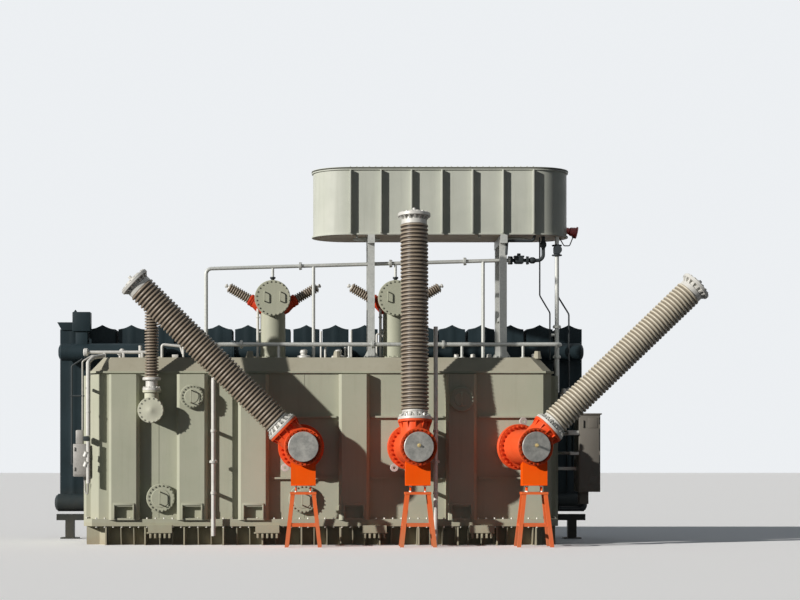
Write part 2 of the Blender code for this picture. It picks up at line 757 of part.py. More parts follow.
def hv_bushing(name, foot, axis):
    length = BUSHING_LENGTH - STUB_LENGTH
    neck = length - HEAD_LENGTH
    profile = [
        (0, length + TERMINAL_LENGTH),
        (TERMINAL_RADIUS, length + TERMINAL_LENGTH),
        (TERMINAL_RADIUS, length + CAP_RISE),
        (HEAD_CROWN_RADIUS, length + CAP_RISE),
        (HEAD_RADIUS, length),
        (HEAD_FLANGE_RADIUS, length),
        (HEAD_FLANGE_RADIUS, length - HEAD_FLANGE_THICKNESS),
        (HEAD_RADIUS, length - HEAD_FLANGE_THICKNESS),
        (HEAD_RADIUS, neck),
        *shed_profile(PORCELAIN_RADIUS, SHED_RADIUS, FOOT_LENGTH, neck, SHED_COUNT),
        (FOOT_RADIUS, FOOT_LENGTH),
        (FOOT_RADIUS, FOOT_FLANGE_THICKNESS),
        (FOOT_FLANGE_RADIUS, FOOT_FLANGE_THICKNESS),
        (FOOT_FLANGE_RADIUS, 0),
        (0, 0),
    ]
    made = turned(f"hv_{name}_bushing", profile, PORCELAIN_SIDES, foot, axis)
    assemble(f"hv_{name}_bushing", "brown_porcelain", [made])


def hv_support(name, front, forward):
    """The saddle that cradles the turret's body, and the trestle under its jack screws."""
    top = HV_HEIGHT - BODY_RADIUS + SADDLE_RISE
    bottom = top - SADDLE_HEIGHT
    turn = Matrix.Translation((front.x, front.y + SADDLE_SETBACK, 0))
    cradle = rod("cradle", BODY_RADIUS + CRADLE_GAP, front - forward * BODY_LENGTH, front)
    box = block("saddle", (SADDLE_WIDTH, SADDLE_DEPTH, SADDLE_HEIGHT), (0, 0, (top + bottom) / 2))
    pieces = [place(box, turn)]
    for x in (-1, 1):
        for y in (-1, 1):
            at_x = x * (SADDLE_WIDTH / 2 - SCREW_INSET)
            at_y = y * (SADDLE_DEPTH / 2 - SCREW_INSET)
            start = (at_x, at_y, bottom - SCREW_LENGTH)
            screw = rod("screw", SCREW_RADIUS, start, (at_x, at_y, bottom + WELD_DEPTH), SMALL_SIDES)
            pieces.append(place(screw, turn))
    assemble(f"hv_{name}_saddle", "orange_primer", pieces, [cradle])

    deck = bottom - SCREW_LENGTH - SEAT_GAP
    size = (TRESTLE_TOP_WIDTH, TRESTLE_TOP_WIDTH, TRESTLE_TOP_THICKNESS)
    plate = block("plate", size, (0, 0, deck - TRESTLE_TOP_THICKNESS / 2))
    pieces = [place(plate, turn)]
    head = (TRESTLE_TOP_WIDTH - TRESTLE_LEG) / 2 - TRESTLE_LEG_INSET
    foot = (TRESTLE_FOOT_WIDTH - TRESTLE_LEG) / 2
    for x in (-1, 1):
        for y in (-1, 1):
            made = leg(
                "leg",
                TRESTLE_LEG,
                (x * foot, y * foot, 0),
                (x * head, y * head, deck - TRESTLE_TOP_THICKNESS / 2),
            )
            pieces.append(place(made, turn))
    share = TRESTLE_BAR_HEIGHT / (deck - TRESTLE_TOP_THICKNESS / 2)
    half = foot + (head - foot) * share
    for side in (-1, 1):
        along = block("bar", (2 * half, TRESTLE_BAR, TRESTLE_BAR), (0, side * half, TRESTLE_BAR_HEIGHT))
        across = block("bar", (TRESTLE_BAR, 2 * half, TRESTLE_BAR), (side * half, 0, TRESTLE_BAR_HEIGHT))
        pieces += [place(along, turn), place(across, turn)]
    assemble(f"hv_{name}_trestle", "orange_primer", pieces)


def neutral_bushing():
    wall = Vector((NEUTRAL_SHARE * TANK_LENGTH, TANK_FRONT - SEAT_GAP, NEUTRAL_HEIGHT))
    forward, up = Vector((0, -1, 0)), Vector((0, 0, 1))
    front = wall + forward * NEUTRAL_LENGTH
    elbow = front - forward * NEUTRAL_SETBACK
    stub_end = elbow + up * NEUTRAL_STUB_LENGTH
    thickness = NEUTRAL_FLANGE_THICKNESS
    pieces = [
        rod("drum", NEUTRAL_RADIUS, wall, front),
        rod("front_ring", NEUTRAL_FLANGE_RADIUS, front - forward * thickness, front + forward * thickness),
        rod("stub", NEUTRAL_STUB_RADIUS, elbow, stub_end),
        rod("stub_flange", NEUTRAL_STUB_FLANGE, stub_end - up * thickness, stub_end),
    ]
    assemble("neutral_elbow", "galvanised", pieces)

    spool = NEUTRAL_SPOOL_LENGTH
    top = spool + NEUTRAL_PORCELAIN_LENGTH
    profile = [
        (0, top + NEUTRAL_CAP_LENGTH),
        (NEUTRAL_CAP_RADIUS, top + NEUTRAL_CAP_LENGTH),
        (NEUTRAL_CAP_RADIUS, top),
        *shed_profile(NEUTRAL_CORE_RADIUS, NEUTRAL_SHED_RADIUS, spool, top, NEUTRAL_SHED_COUNT),
        (NEUTRAL_STUB_RADIUS, spool),
        (NEUTRAL_STUB_RADIUS, thickness),
        (NEUTRAL_STUB_FLANGE, thickness),
        (NEUTRAL_STUB_FLANGE, 0),
        (0, 0),
    ]
    made = turned("neutral_bushing", profile, SMALL_SIDES, stub_end + up * SEAT_GAP, up)
    assemble("neutral_bushing", "brown_porcelain", [made])


def lv_turret(index):
    name = LV_NAMES[index]
    base = Vector((LV_PLACES[index], LV_DEPTH_PLACE, DECK))
    up, forward = Vector((0, 0, 1)), Vector((0, -1, 0))
    drum = base + up * LV_DRUM_HEIGHT
    start = base + up * LV_BUSHING_HEIGHT
    front = drum + forward * LV_DRUM_LENGTH / 2
    cover_radius = LV_DRUM_RADIUS - LV_DRUM_COVER_STEP
    face = front + forward * LV_DRUM_COVER_THICKNESS
    pieces = [
        rod("column", LV_COLUMN_RADIUS, base, drum),
        rod("foot", LV_FLANGE_RADIUS, base, base + up * LV_FLANGE_THICKNESS),
        rod("drum", LV_DRUM_RADIUS, drum - forward * LV_DRUM_LENGTH / 2, front),
        rod("cover", cover_radius, front - forward * WELD_DEPTH, face),
    ]
    for side in (-1, 1):
        grip = face + Vector((side * LV_HANDLE_PLACE, 0, LV_HANDLE_RISE))
        pieces.append(handle(grip, forward, (0, 0, 1)))
    axes = []
    for side in (-1, 1):
        axis = direction(side * (90 - LV_BUSHING_RISE_DEGREES), 0)
        axes.append(axis)
        pieces.append(rod("stub", LV_STUB_RADIUS, start, start + axis * LV_STUB_LENGTH, SMALL_SIDES))
    assemble(f"lv_{name}_turret", "tank_paint", pieces)

    neck = LV_BUSHING_LENGTH - LV_CAP_LENGTH
    profile = [
        (0, LV_BUSHING_LENGTH),
        (LV_CAP_RADIUS, LV_BUSHING_LENGTH),
        (LV_CAP_RADIUS, neck),
        *shed_profile(LV_CORE_RADIUS, LV_SHED_RADIUS, LV_BASE_LENGTH, neck, LV_SHED_COUNT),
        (LV_BASE_RADIUS, LV_BASE_LENGTH),
        (LV_BASE_RADIUS, 0),
        (0, 0),
    ]
    for side, axis in zip(("left", "right"), axes):
        full_name = f"lv_{name}_bushing_{side}"
        foot = start + axis * (LV_STUB_LENGTH + SEAT_GAP)
        made = turned(full_name, profile, SMALL_SIDES, foot, axis)
        assemble(full_name, "brown_porcelain", [made])


def conservator():
    outline = [
        (x + CONSERVATOR_CENTRE, y)
        for x, y in stadium_outline(CONSERVATOR_LENGTH, CONSERVATOR_WIDTH)
    ]
    pieces = [prism("shell", outline, CONSERVATOR_BOTTOM, CONSERVATOR_TOP)]
    straight = CONSERVATOR_LENGTH - CONSERVATOR_WIDTH
    height = CONSERVATOR_HEIGHT - 2 * LID_THICKNESS
    z = CONSERVATOR_BOTTOM + CONSERVATOR_HEIGHT / 2
    for x in spread(CONSERVATOR_RIBS, straight):
        for side in (-1, 1):
            y = side * (CONSERVATOR_WIDTH / 2 + (CONSERVATOR_RIB_REACH - WELD_DEPTH) / 2)
            size = (CONSERVATOR_RIB_WIDTH, CONSERVATOR_RIB_REACH + WELD_DEPTH, height)
            pieces.append(block("rib", size, (CONSERVATOR_CENTRE + x, y, z)))
    assemble("conservator_tank", "conservator_paint", pieces)

    outline = [
        (x + CONSERVATOR_CENTRE, y)
        for x, y in stadium_outline(
            CONSERVATOR_LENGTH + 2 * LID_REACH, CONSERVATOR_WIDTH + 2 * LID_REACH
        )
    ]
    bottom = CONSERVATOR_TOP + SEAT_GAP
    lid = prism("lid", outline, bottom, bottom + LID_THICKNESS)
    assemble("conservator_lid", "conservator_paint", [lid])


def conservator_frames():
    top = CONSERVATOR_BOTTOM - SEAT_GAP
    span = FRAME_SPREAD + FRAME_POST + 2 * FRAME_BEAM_OVERHANG
    for side, x in zip(("left", "right"), FRAME_PLACES):
        pieces = [
            block("beam", (FRAME_POST, span, FRAME_BEAM_HEIGHT), (x, 0, top - FRAME_BEAM_HEIGHT / 2)),
            block("rail", (FRAME_RAIL, FRAME_SPREAD, FRAME_RAIL), (x, 0, DECK + FRAME_RAIL_HEIGHT)),
        ]
        for y in (-FRAME_SPREAD / 2, FRAME_SPREAD / 2):
            height = top - WELD_DEPTH - DECK
            pieces.append(block("post", (FRAME_POST, FRAME_POST, height), (x, y, DECK + height / 2)))
            size = (FRAME_FOOT, FRAME_FOOT, FRAME_FOOT_THICKNESS)
            pieces.append(block("foot", size, (x, y, DECK + FRAME_FOOT_THICKNESS / 2)))
        assemble(f"conservator_frame_{side}", "galvanised", pieces)


def level_gauge():
    x = CONSERVATOR_CENTRE + CONSERVATOR_LENGTH / 2 + SEAT_GAP
    profile = [
        (0, GAUGE_NECK_LENGTH + GAUGE_LENGTH),
        (GAUGE_RADIUS, GAUGE_NECK_LENGTH + GAUGE_LENGTH),
        (GAUGE_RADIUS, GAUGE_NECK_LENGTH),
        (GAUGE_NECK_RADIUS, GAUGE_NECK_LENGTH),
        (GAUGE_NECK_RADIUS, 0),
        (0, 0),
    ]
    at = (x, 0, CONSERVATOR_BOTTOM + GAUGE_HEIGHT)
    assemble("level_gauge", "gauge_red", [turned("gauge", profile, SMALL_SIDES, at, (1, 0, 0))])


def relay_pipe_height(x):
    share = (x - RELAY_PIPE_START) / (RELAY_PLACE - RELAY_LEVEL_RUN - RELAY_PIPE_START)
    return RELAY_PIPE_LOW + share * (RELAY_PIPE_HIGH - RELAY_PIPE_LOW)


def relay_pipe():
    y = RELAY_PIPE_PLACE
    points = [
        (RELAY_PIPE_START, y, DECK),
        (RELAY_PIPE_START, y, RELAY_PIPE_LOW),
        (RELAY_PLACE - RELAY_LEVEL_RUN, y, RELAY_PIPE_HIGH),
        (RELAY_PLACE - RELAY_FLANGE_THICKNESS / 2, y, RELAY_PIPE_HIGH),
    ]
    pieces = [pipe("run", points, RELAY_PIPE_RADIUS, RELAY_PIPE_BEND)]
    for x in (RELAY_PIPE_START, *STAY_PLACES):
        foot = (x, y, DECK + STAY_FOOT_THICKNESS)
        pieces.append(rod("foot", STAY_FOOT_RADIUS, (x, y, DECK), foot, SMALL_SIDES))
    for x in STAY_PLACES:
        pieces.append(rod("stay", STAY_RADIUS, (x, y, DECK), (x, y, relay_pipe_height(x)), SMALL_SIDES))
    for x in LV_PLACES:
        crown = DECK + LV_DRUM_HEIGHT + LV_DRUM_RADIUS + SEAT_GAP
        pieces.append(rod("branch", STAY_RADIUS, (x, y, crown), (x, y, relay_pipe_height(x)), SMALL_SIDES))
    end = Vector((RELAY_PLACE, y, RELAY_PIPE_HIGH))
    thickness = Vector((RELAY_FLANGE_THICKNESS, 0, 0))
    pieces.append(rod("flange", RELAY_FLANGE_RADIUS, end - thickness, end, SMALL_SIDES))
    assemble("relay_pipe", "galvanised", pieces)

    start = end + Vector((SEAT_GAP, 0, 0))
    middle = start + Vector((RELAY_LENGTH / 2, 0, 0))
    points = [
        start,
        (RELAY_RISE_PLACE, y, RELAY_PIPE_HIGH),
        (RELAY_RISE_PLACE, y, CONSERVATOR_BOTTOM - SEAT_GAP),
    ]
    pieces = [
        pipe("rise", points, RELAY_PIPE_RADIUS, RELAY_PIPE_BEND),
        block("relay", (RELAY_LENGTH / 2, RELAY_WIDTH, RELAY_HEIGHT), middle),
        rod("flange", RELAY_FLANGE_RADIUS, start, start + thickness, SMALL_SIDES),
    ]
    assemble("gas_relay", "cabinet_paint", pieces)


def deck_pipe():
    z = DECK + DECK_PIPE_HEIGHT
    y = DECK_PIPE_PLACE
    joint = Vector((RISER_PLACE, RISER_DEPTH_PLACE, DECK + RISER_JOINT_HEIGHT))
    points = [
        (DECK_PIPE_START, y, z),
        (RISER_PLACE, y, z),
        (RISER_PLACE, RISER_DEPTH_PLACE, z),
        joint,
    ]
    down = Vector((0, 0, -RELAY_FLANGE_THICKNESS))
    blind = Vector((RELAY_FLANGE_THICKNESS, 0, 0))
    start = Vector(points[0])
    pieces = [
        pipe("run", points, DECK_PIPE_RADIUS, DECK_PIPE_BEND),
        rod("flange", RISER_FLANGE_RADIUS, joint + down, joint, SMALL_SIDES),
        rod("blind", RISER_FLANGE_RADIUS, start - blind, start + blind, SMALL_SIDES),
    ]
    for x in DECK_LEG_PLACES:
        pieces.append(rod("leg", DECK_LEG_RADIUS, (x, y, DECK), (x, y, z), SMALL_SIDES))
    assemble("deck_pipe", "galvanised", pieces)

    start = joint + Vector((0, 0, SEAT_GAP))
    end = Vector((RISER_PLACE, RISER_DEPTH_PLACE, CONSERVATOR_BOTTOM - SEAT_GAP))
    valve = end - Vector((0, 0, RISER_VALVE_DROP))
    half = Vector((0, 0, RISER_VALVE_LENGTH / 2))
    pieces = [
        rod("run", DECK_PIPE_RADIUS, start, end, SMALL_SIDES),
        rod("flange", RISER_FLANGE_RADIUS, start, start - down, SMALL_SIDES),
        rod("valve", RISER_VALVE_RADIUS, valve - half, valve + half, SMALL_SIDES),
    ]
    assemble("conservator_riser", "galvanised", pieces)


def front_pipes():
    y = TANK_FRONT - FRONT_PIPE_REACH
    wall = TANK_FRONT - SEAT_GAP
    drain = [
        (DRAIN_PIPE_PLACE, y, DRAIN_PIPE_BOTTOM),
        (DRAIN_PIPE_PLACE, y, DRAIN_PIPE_TOP),
        (DRAIN_PIPE_PLACE, wall, DRAIN_PIPE_TOP),
    ]
    fill = [(FILL_PIPE_PLACE, y, 0), (FILL_PIPE_PLACE, y, COVER_TOP + FILL_PIPE_TOP_RISE)]
    for name, points in (("front_pipe_left", drain), ("front_pipe_right", fill)):
        pieces = [pipe("run", points, FRONT_PIPE_RADIUS, FRONT_PIPE_BEND)]
        for z in CLIP_HEIGHTS:
            size = (CLIP_WIDTH, wall - y, CLIP_HEIGHT)
            pieces.append(block("clip", size, (points[0][0], (wall + y) / 2, z)))
        assemble(name, "galvanised", pieces)


def panel_outline():
    """A radiator panel seen from the front: square feet, and a top that falls from a low peak."""
    x = PANEL_WIDTH / 2
    return [
        (-x, PANEL_BOTTOM),
        (x, PANEL_BOTTOM),
        (x, PANEL_TOP - PANEL_SHOULDER),
        (0, PANEL_TOP),
        (-x, PANEL_TOP - PANEL_SHOULDER),
    ]


def radiator_bank(index):
    """A third of the bank: its radiators on their own lengths of the two headers."""
    per_bank = RADIATORS // BANKS
    half = per_bank * RADIATOR_PITCH / 2
    centre = (index - (BANKS - 1) / 2) * 2 * half
    pieces = []
    y = HEADER_PLACE
    for z, inset in zip((HEADER_UPPER, HEADER_LOWER), HEADER_INSETS):
        left = centre - half + (inset if index == 0 else SEAT_GAP / 2)
        right = centre + half - (inset if index == BANKS - 1 else SEAT_GAP / 2)
        lengths = [rod("header", HEADER_RADIUS, (left, y, z), (right, y, z), HEADER_SIDES)]
        for end, inward, closed in ((left, 1, index == 0), (right, -1, index == BANKS - 1)):
            if closed:
                root, tip = end + inward * WELD_DEPTH, end - inward * HEADER_DISH
                wide, narrow = (share * HEADER_RADIUS for share in HEADER_DISH_SHARES)
            else:
                root, tip = end + inward * HEADER_FLANGE_THICKNESS, end
                wide = narrow = HEADER_FLANGE_RADIUS
            lengths.append(rod("end", wide, (root, y, z), (tip, y, z), HEADER_SIDES, narrow))
        axis = Matrix.Translation((0, y, z))
        half_side = Matrix.Rotation(math.pi / HEADER_SIDES, 4, "X")
        pieces += [place(length, axis @ half_side @ axis.inverted()) for length in lengths]
        tap = centre + RADIATOR_PITCH / 2
        wall = TANK_REAR + SEAT_GAP
        pieces.append(rod("link", LINK_RADIUS, (tap, wall, z), (tap, y, z), SMALL_SIDES))
    stand_up = Matrix.Rotation(math.pi / 2, 4, "X")
    last = PANEL_PLACE + (PANELS - 1) * PANEL_PITCH - PANEL_THICKNESS / 2
    for i in range(per_bank):
        x = centre + (i + 1 / 2) * RADIATOR_PITCH - half
        for z in (HEADER_UPPER, PANEL_BOTTOM + MANIFOLD_MARGIN):
            size = (MANIFOLD_WIDTH, last - y, MANIFOLD_WIDTH)
            pieces.append(block("manifold", size, (x, (y + last) / 2, z)))
        for row in range(PANELS):
            panel = prism("panel", panel_outline(), 0, PANEL_THICKNESS)
            at = Matrix.Translation((x, PANEL_PLACE + row * PANEL_PITCH, 0))
            pieces.append(place(panel, at @ stand_up))
    if index == 0:
        size = (NECK_WIDTH, HEADER_RADIUS, NECK_TOP - HEADER_UPPER + WELD_DEPTH)
        centre_z = (NECK_TOP + WELD_DEPTH + HEADER_UPPER) / 2
        pieces.append(block("neck", size, (NECK_PLACE, y, centre_z)))
        size = (NECK_BOX_WIDTH, NECK_BOX_DEPTH, NECK_BOX_TOP - NECK_TOP)
        pieces.append(block("neck_box", size, (NECK_PLACE, y, (NECK_BOX_TOP + NECK_TOP) / 2)))
    for end_index, side in ((0, -1), (BANKS - 1, 1)):
        if index == end_index:
            outline = [
                (side * CAP_INNER, CAP_BOTTOM),
                (side * (CAP_OUTER - CAP_FLARE), CAP_BOTTOM),
                (side * CAP_OUTER, CAP_TOP),
                (side * CAP_INNER, CAP_TOP),
            ]
            cap = prism("cap", outline, 0, last - PANEL_PLACE + PANEL_THICKNESS)
            pieces.append(place(cap, Matrix.Translation((0, last, 0)) @ stand_up))
    assemble(f"radiator_bank_{index + 1}", "radiator_paint", pieces)


def bank_stand():
    """Posts and a beam under the lower header."""
    flange_drop = HEADER_FLANGE_RADIUS * math.cos(math.pi / HEADER_SIDES)
    top = HEADER_LOWER - flange_drop - SEAT_GAP
    length = RADIATORS * RADIATOR_PITCH
    y = HEADER_PLACE
    z = top - STAND_BEAM_HEIGHT / 2
    pieces = [block("beam", (length, STAND_POST, STAND_BEAM_HEIGHT), (0, y, z))]
    for x in spread(STAND_POSTS, length - STAND_POST - STAND_FOOT):
        height = top - STAND_BEAM_HEIGHT / 2
        pieces.append(block("post", (STAND_POST, STAND_POST, height), (x, y, height / 2)))
        size = (STAND_FOOT, STAND_FOOT, STAND_FOOT_THICKNESS)
        pieces.append(block("foot", size, (x, y, STAND_FOOT_THICKNESS / 2)))
    assemble("radiator_stand", "radiator_paint", pieces)


def end_boxes():
    wall = -TANK_END - SEAT_GAP
    x = -TANK_END - JUNCTION_STANDOFF - JUNCTION_WIDTH / 2
    top = JUNCTION_BOTTOM + JUNCTION_HEIGHT
    size = (JUNCTION_WIDTH, JUNCTION_DEPTH, JUNCTION_HEIGHT)
    pieces = [block("box", size, (x, JUNCTION_PLACE, (JUNCTION_BOTTOM + top) / 2))]
    size = (JUNCTION_HEAD_WIDTH, JUNCTION_HEAD_DEPTH, JUNCTION_HEAD_HEIGHT + WELD_DEPTH)
    middle = top + (JUNCTION_HEAD_HEIGHT - WELD_DEPTH) / 2
    pieces.append(block("head", size, (x + JUNCTION_HEAD_SHIFT, JUNCTION_PLACE, middle)))
    for share in ARM_SHARES:
        z = JUNCTION_BOTTOM + share * JUNCTION_HEIGHT
        size = (wall - x, BOX_ARM, BOX_ARM)
        pieces.append(block("arm", size, ((wall + x) / 2, JUNCTION_PLACE, z)))
    rise = -TANK_END - CONDUIT_OUTSET
    front = TANK_FRONT - RIM_REACH - CONDUIT_REACH
    points = [
        (x, JUNCTION_PLACE, JUNCTION_BOTTOM + WELD_DEPTH),
        (x, JUNCTION_PLACE, JUNCTION_BOTTOM - CONDUIT_DROP),
        (rise, front, JUNCTION_BOTTOM - CONDUIT_DROP),
        (rise, front, CONDUIT_TOP),
    ]
    pieces.append(pipe("conduit", points, CONDUIT_RADIUS, CONDUIT_BEND))
    back = JUNCTION_PLACE - JUNCTION_DEPTH / 2 + WELD_DEPTH
    size = (CONDUIT_CLIP_WIDTH, back - front, CONDUIT_CLIP_HEIGHT)
    place_x = rise - CONDUIT_CLIP_WIDTH / 2 + CONDUIT_OUTSET
    pieces.append(block("clip", size, (place_x, (back + front) / 2, z)))
    assemble("junction_box", "galvanised", pieces)

    wall = TANK_END + STIFFENER_DEPTH + SEAT_GAP
    x = TANK_END + CABINET_STANDOFF + CABINET_WIDTH / 2
    middle = CABINET_BOTTOM + CABINET_HEIGHT / 2
    roof = CABINET_BOTTOM + CABINET_HEIGHT
    size = (CABINET_WIDTH, CABINET_DEPTH, CABINET_HEIGHT)
    roof_size = (
        CABINET_WIDTH + 2 * CABINET_ROOF_REACH,
        CABINET_DEPTH + 2 * CABINET_ROOF_REACH,
        CABINET_ROOF_THICKNESS,
    )
    pieces = [
        block("box", size, (x, CABINET_PLACE, middle)),
        block("roof", roof_size, (x, CABINET_PLACE, roof)),
    ]
    for share in ARM_SHARES:
        z = CABINET_BOTTOM + share * CABINET_HEIGHT
        size = (x - wall, BOX_ARM, BOX_ARM)
        pieces.append(block("arm", size, ((wall + x) / 2, CABINET_PLACE, z)))
    assemble("control_cabinet", "cabinet_paint", pieces)


clear_scene()
parts = new_collection("power_transformer", bpy.context.scene.collection)
helpers = new_collection("helpers", bpy.context.scene.collection)
helpers.hide_render = True

skid()
tank_body()
tank_cover()
hatches()
for phase in range(len(HV_NAMES)):
    hv_turret(phase)
neutral_bushing()
for turret in range(len(LV_NAMES)):
    lv_turret(turret)
conservator()
conservator_frames()
level_gauge()
relay_pipe()
deck_pipe()
front_pipes()
for bank in range(BANKS):
    radiator_bank(bank)
bank_stand()
end_boxes()
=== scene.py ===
"""Looks of a large oil-filled power transformer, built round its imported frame, in metres."""

import math

import bmesh
import bpy
from mathutils import Matrix, Vector


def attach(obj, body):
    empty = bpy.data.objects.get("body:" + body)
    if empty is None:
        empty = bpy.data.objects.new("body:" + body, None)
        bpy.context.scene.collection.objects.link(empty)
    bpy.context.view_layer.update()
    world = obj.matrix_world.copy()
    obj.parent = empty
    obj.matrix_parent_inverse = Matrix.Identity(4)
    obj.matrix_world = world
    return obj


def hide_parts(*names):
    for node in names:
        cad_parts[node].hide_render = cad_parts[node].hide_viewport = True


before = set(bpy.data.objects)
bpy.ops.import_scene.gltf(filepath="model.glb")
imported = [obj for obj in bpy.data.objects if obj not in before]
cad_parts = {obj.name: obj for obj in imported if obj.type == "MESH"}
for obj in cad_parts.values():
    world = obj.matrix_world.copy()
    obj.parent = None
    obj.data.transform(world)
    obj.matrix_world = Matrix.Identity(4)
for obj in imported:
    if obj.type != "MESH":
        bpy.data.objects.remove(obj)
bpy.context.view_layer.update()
scene = bpy.context.scene
scene.view_settings.view_transform = "Standard"

# The studio. A long level lens stands 47 m off the front at eye height, shifted up and aside as the
# photograph is framed. A lamp low on the left front gives the form and the shadows; a dim pale sky fills
# them. The lens, metal and glass see a plain white backdrop instead of that sky.
EYE_PLACE = (0, -46.6, 1.79)
LENS_MM = 96.17
EYE_SHIFT = (0.0988, 0.2)
LAMP_SIDE = math.radians(57)
LAMP_RISE = math.radians(19.5)
LAMP_POWER = 4.9
LAMP_SPREAD = math.radians(1.2)
SKY_FILL = 0.12
FLOOR_SIZE = 500


def colour(code):
    """An sRGB hex colour as linear light."""
    shares = [int(code[i : i + 2], 16) / 255 for i in (0, 2, 4)]
    return [s / 12.92 if s <= 0.04045 else ((s + 0.055) / 1.055) ** 2.4 for s in shares] + [1]


def add(tree, kind, sockets, **settings):
    """Adds a node; a socket gets a value, or a link from another node's output."""
    made = tree.nodes.new("ShaderNode" + kind)
    for name, value in settings.items():
        setattr(made, name, value)
    for name, value in sockets.items():
        if isinstance(value, bpy.types.NodeSocket):
            tree.links.new(value, made.inputs[name])
        else:
            made.inputs[name].default_value = value
    return made.outputs


lens = bpy.data.cameras.new("eye")
lens.sensor_width = 36
lens.lens = LENS_MM
lens.clip_end = 600
lens.shift_x, lens.shift_y = EYE_SHIFT
eye = bpy.data.objects.new("eye", lens)
eye.location = EYE_PLACE
eye.rotation_euler = (math.pi / 2, 0, 0)
scene.collection.objects.link(eye)
scene.camera = eye

lamp = bpy.data.lights.new("lamp", "SUN")
lamp.energy = LAMP_POWER
lamp.angle = LAMP_SPREAD
lamp.color = (1, 0.97, 0.93)
key = bpy.data.objects.new("lamp", lamp)
level = math.cos(LAMP_RISE)
shine = Vector((math.sin(LAMP_SIDE) * level, math.cos(LAMP_SIDE) * level, -math.sin(LAMP_RISE)))
key.rotation_euler = shine.to_track_quat("-Z", "Y").to_euler()
scene.collection.objects.link(key)

sky = bpy.data.worlds.new("white_sky")
sky.use_nodes = True
sky_tree = sky.node_tree
sky_tree.nodes.clear()
ray = add(sky_tree, "LightPath", {})
seen = add(sky_tree, "Math", {0: ray["Is Camera Ray"], 1: ray["Is Glossy Ray"]}, operation="MAXIMUM")[0]
seen = add(sky_tree, "Math", {0: seen, 1: ray["Is Transmission Ray"]}, operation="MAXIMUM")[0]
fill = add(sky_tree, "Background", {"Color": colour("cddbe8"), "Strength": SKY_FILL})[0]
backdrop = add(sky_tree, "Background", {"Color": colour("f2f5f8"), "Strength": 0.95})[0]
both = add(sky_tree, "MixShader", {0: seen, 1: fill, 2: backdrop})[0]
add(sky_tree, "OutputWorld", {"Surface": both})
scene.world = sky

floor_shape = bmesh.new()
bmesh.ops.create_grid(floor_shape, x_segments=1, y_segments=1, size=FLOOR_SIZE / 2)
floor_mesh = bpy.data.meshes.new("studio_floor")
floor_shape.to_mesh(floor_mesh)
floor_shape.free()
floor_paint = bpy.data.materials.new("white_studio_floor")
floor_paint.use_nodes = True
floor_tree = floor_paint.node_tree
floor_shader = floor_tree.nodes["Principled BSDF"]
floor_shader.inputs["Roughness"].default_value = 0.9
ray = add(floor_tree, "LightPath", {})
seen = add(floor_tree, "Math", {0: ray["Is Camera Ray"], 1: ray["Is Glossy Ray"]}, operation="MAXIMUM")[0]
tone = add(floor_tree, "Mix", {0: seen, 6: colour("333439"), 7: colour("ffffff")}, data_type="RGBA")[2]
floor_tree.links.new(tone, floor_shader.inputs["Base Color"])
floor_mesh.materials.append(floor_paint)
studio_floor = bpy.data.objects.new("studio_floor", floor_mesh)
scene.collection.objects.link(studio_floor)


# Skid: a welded steel pan with a rim, gusset plates and toothed hauling pads, which the tank stands on.
# It is painted with the tank in sage grey, and site dust has settled on it from the ground up.
TANK_LENGTH = 9.74
TANK_DEPTH = 3.2
TANK_FRONT = -1.6
RIM_REACH = 0.13
RIM_TOP = 0.55
SKID_TOP = 0.4
RIM_BOLTS = 54
GUSSETS = 34
PAD_PLACES = (-0.3465, -0.1155, 0.1155, 0.3465)
PAD_FRONT = 1.79
BOLT_LINE = RIM_REACH - 0.04
RIM_BOLT = 0.044
RIM_BOLT_HEIGHT = 0.03
# Chalked paint has lost most of its surface shine.
PAINT_SHINE = 0.15
UP = (0, 0, 1)


def finish(name, roughness, metallic=0.0):
    """A new material, its node tree, its surface shader and the place of the point being shaded."""
    made = bpy.data.materials.new(name)
    made.use_nodes = True
    shader = made.node_tree.nodes["Principled BSDF"]
    shader.inputs["Roughness"].default_value = roughness
    shader.inputs["Metallic"].default_value = metallic
    place = add(made.node_tree, "TexCoord", {})["Object"]
    return made, made.node_tree, shader, place


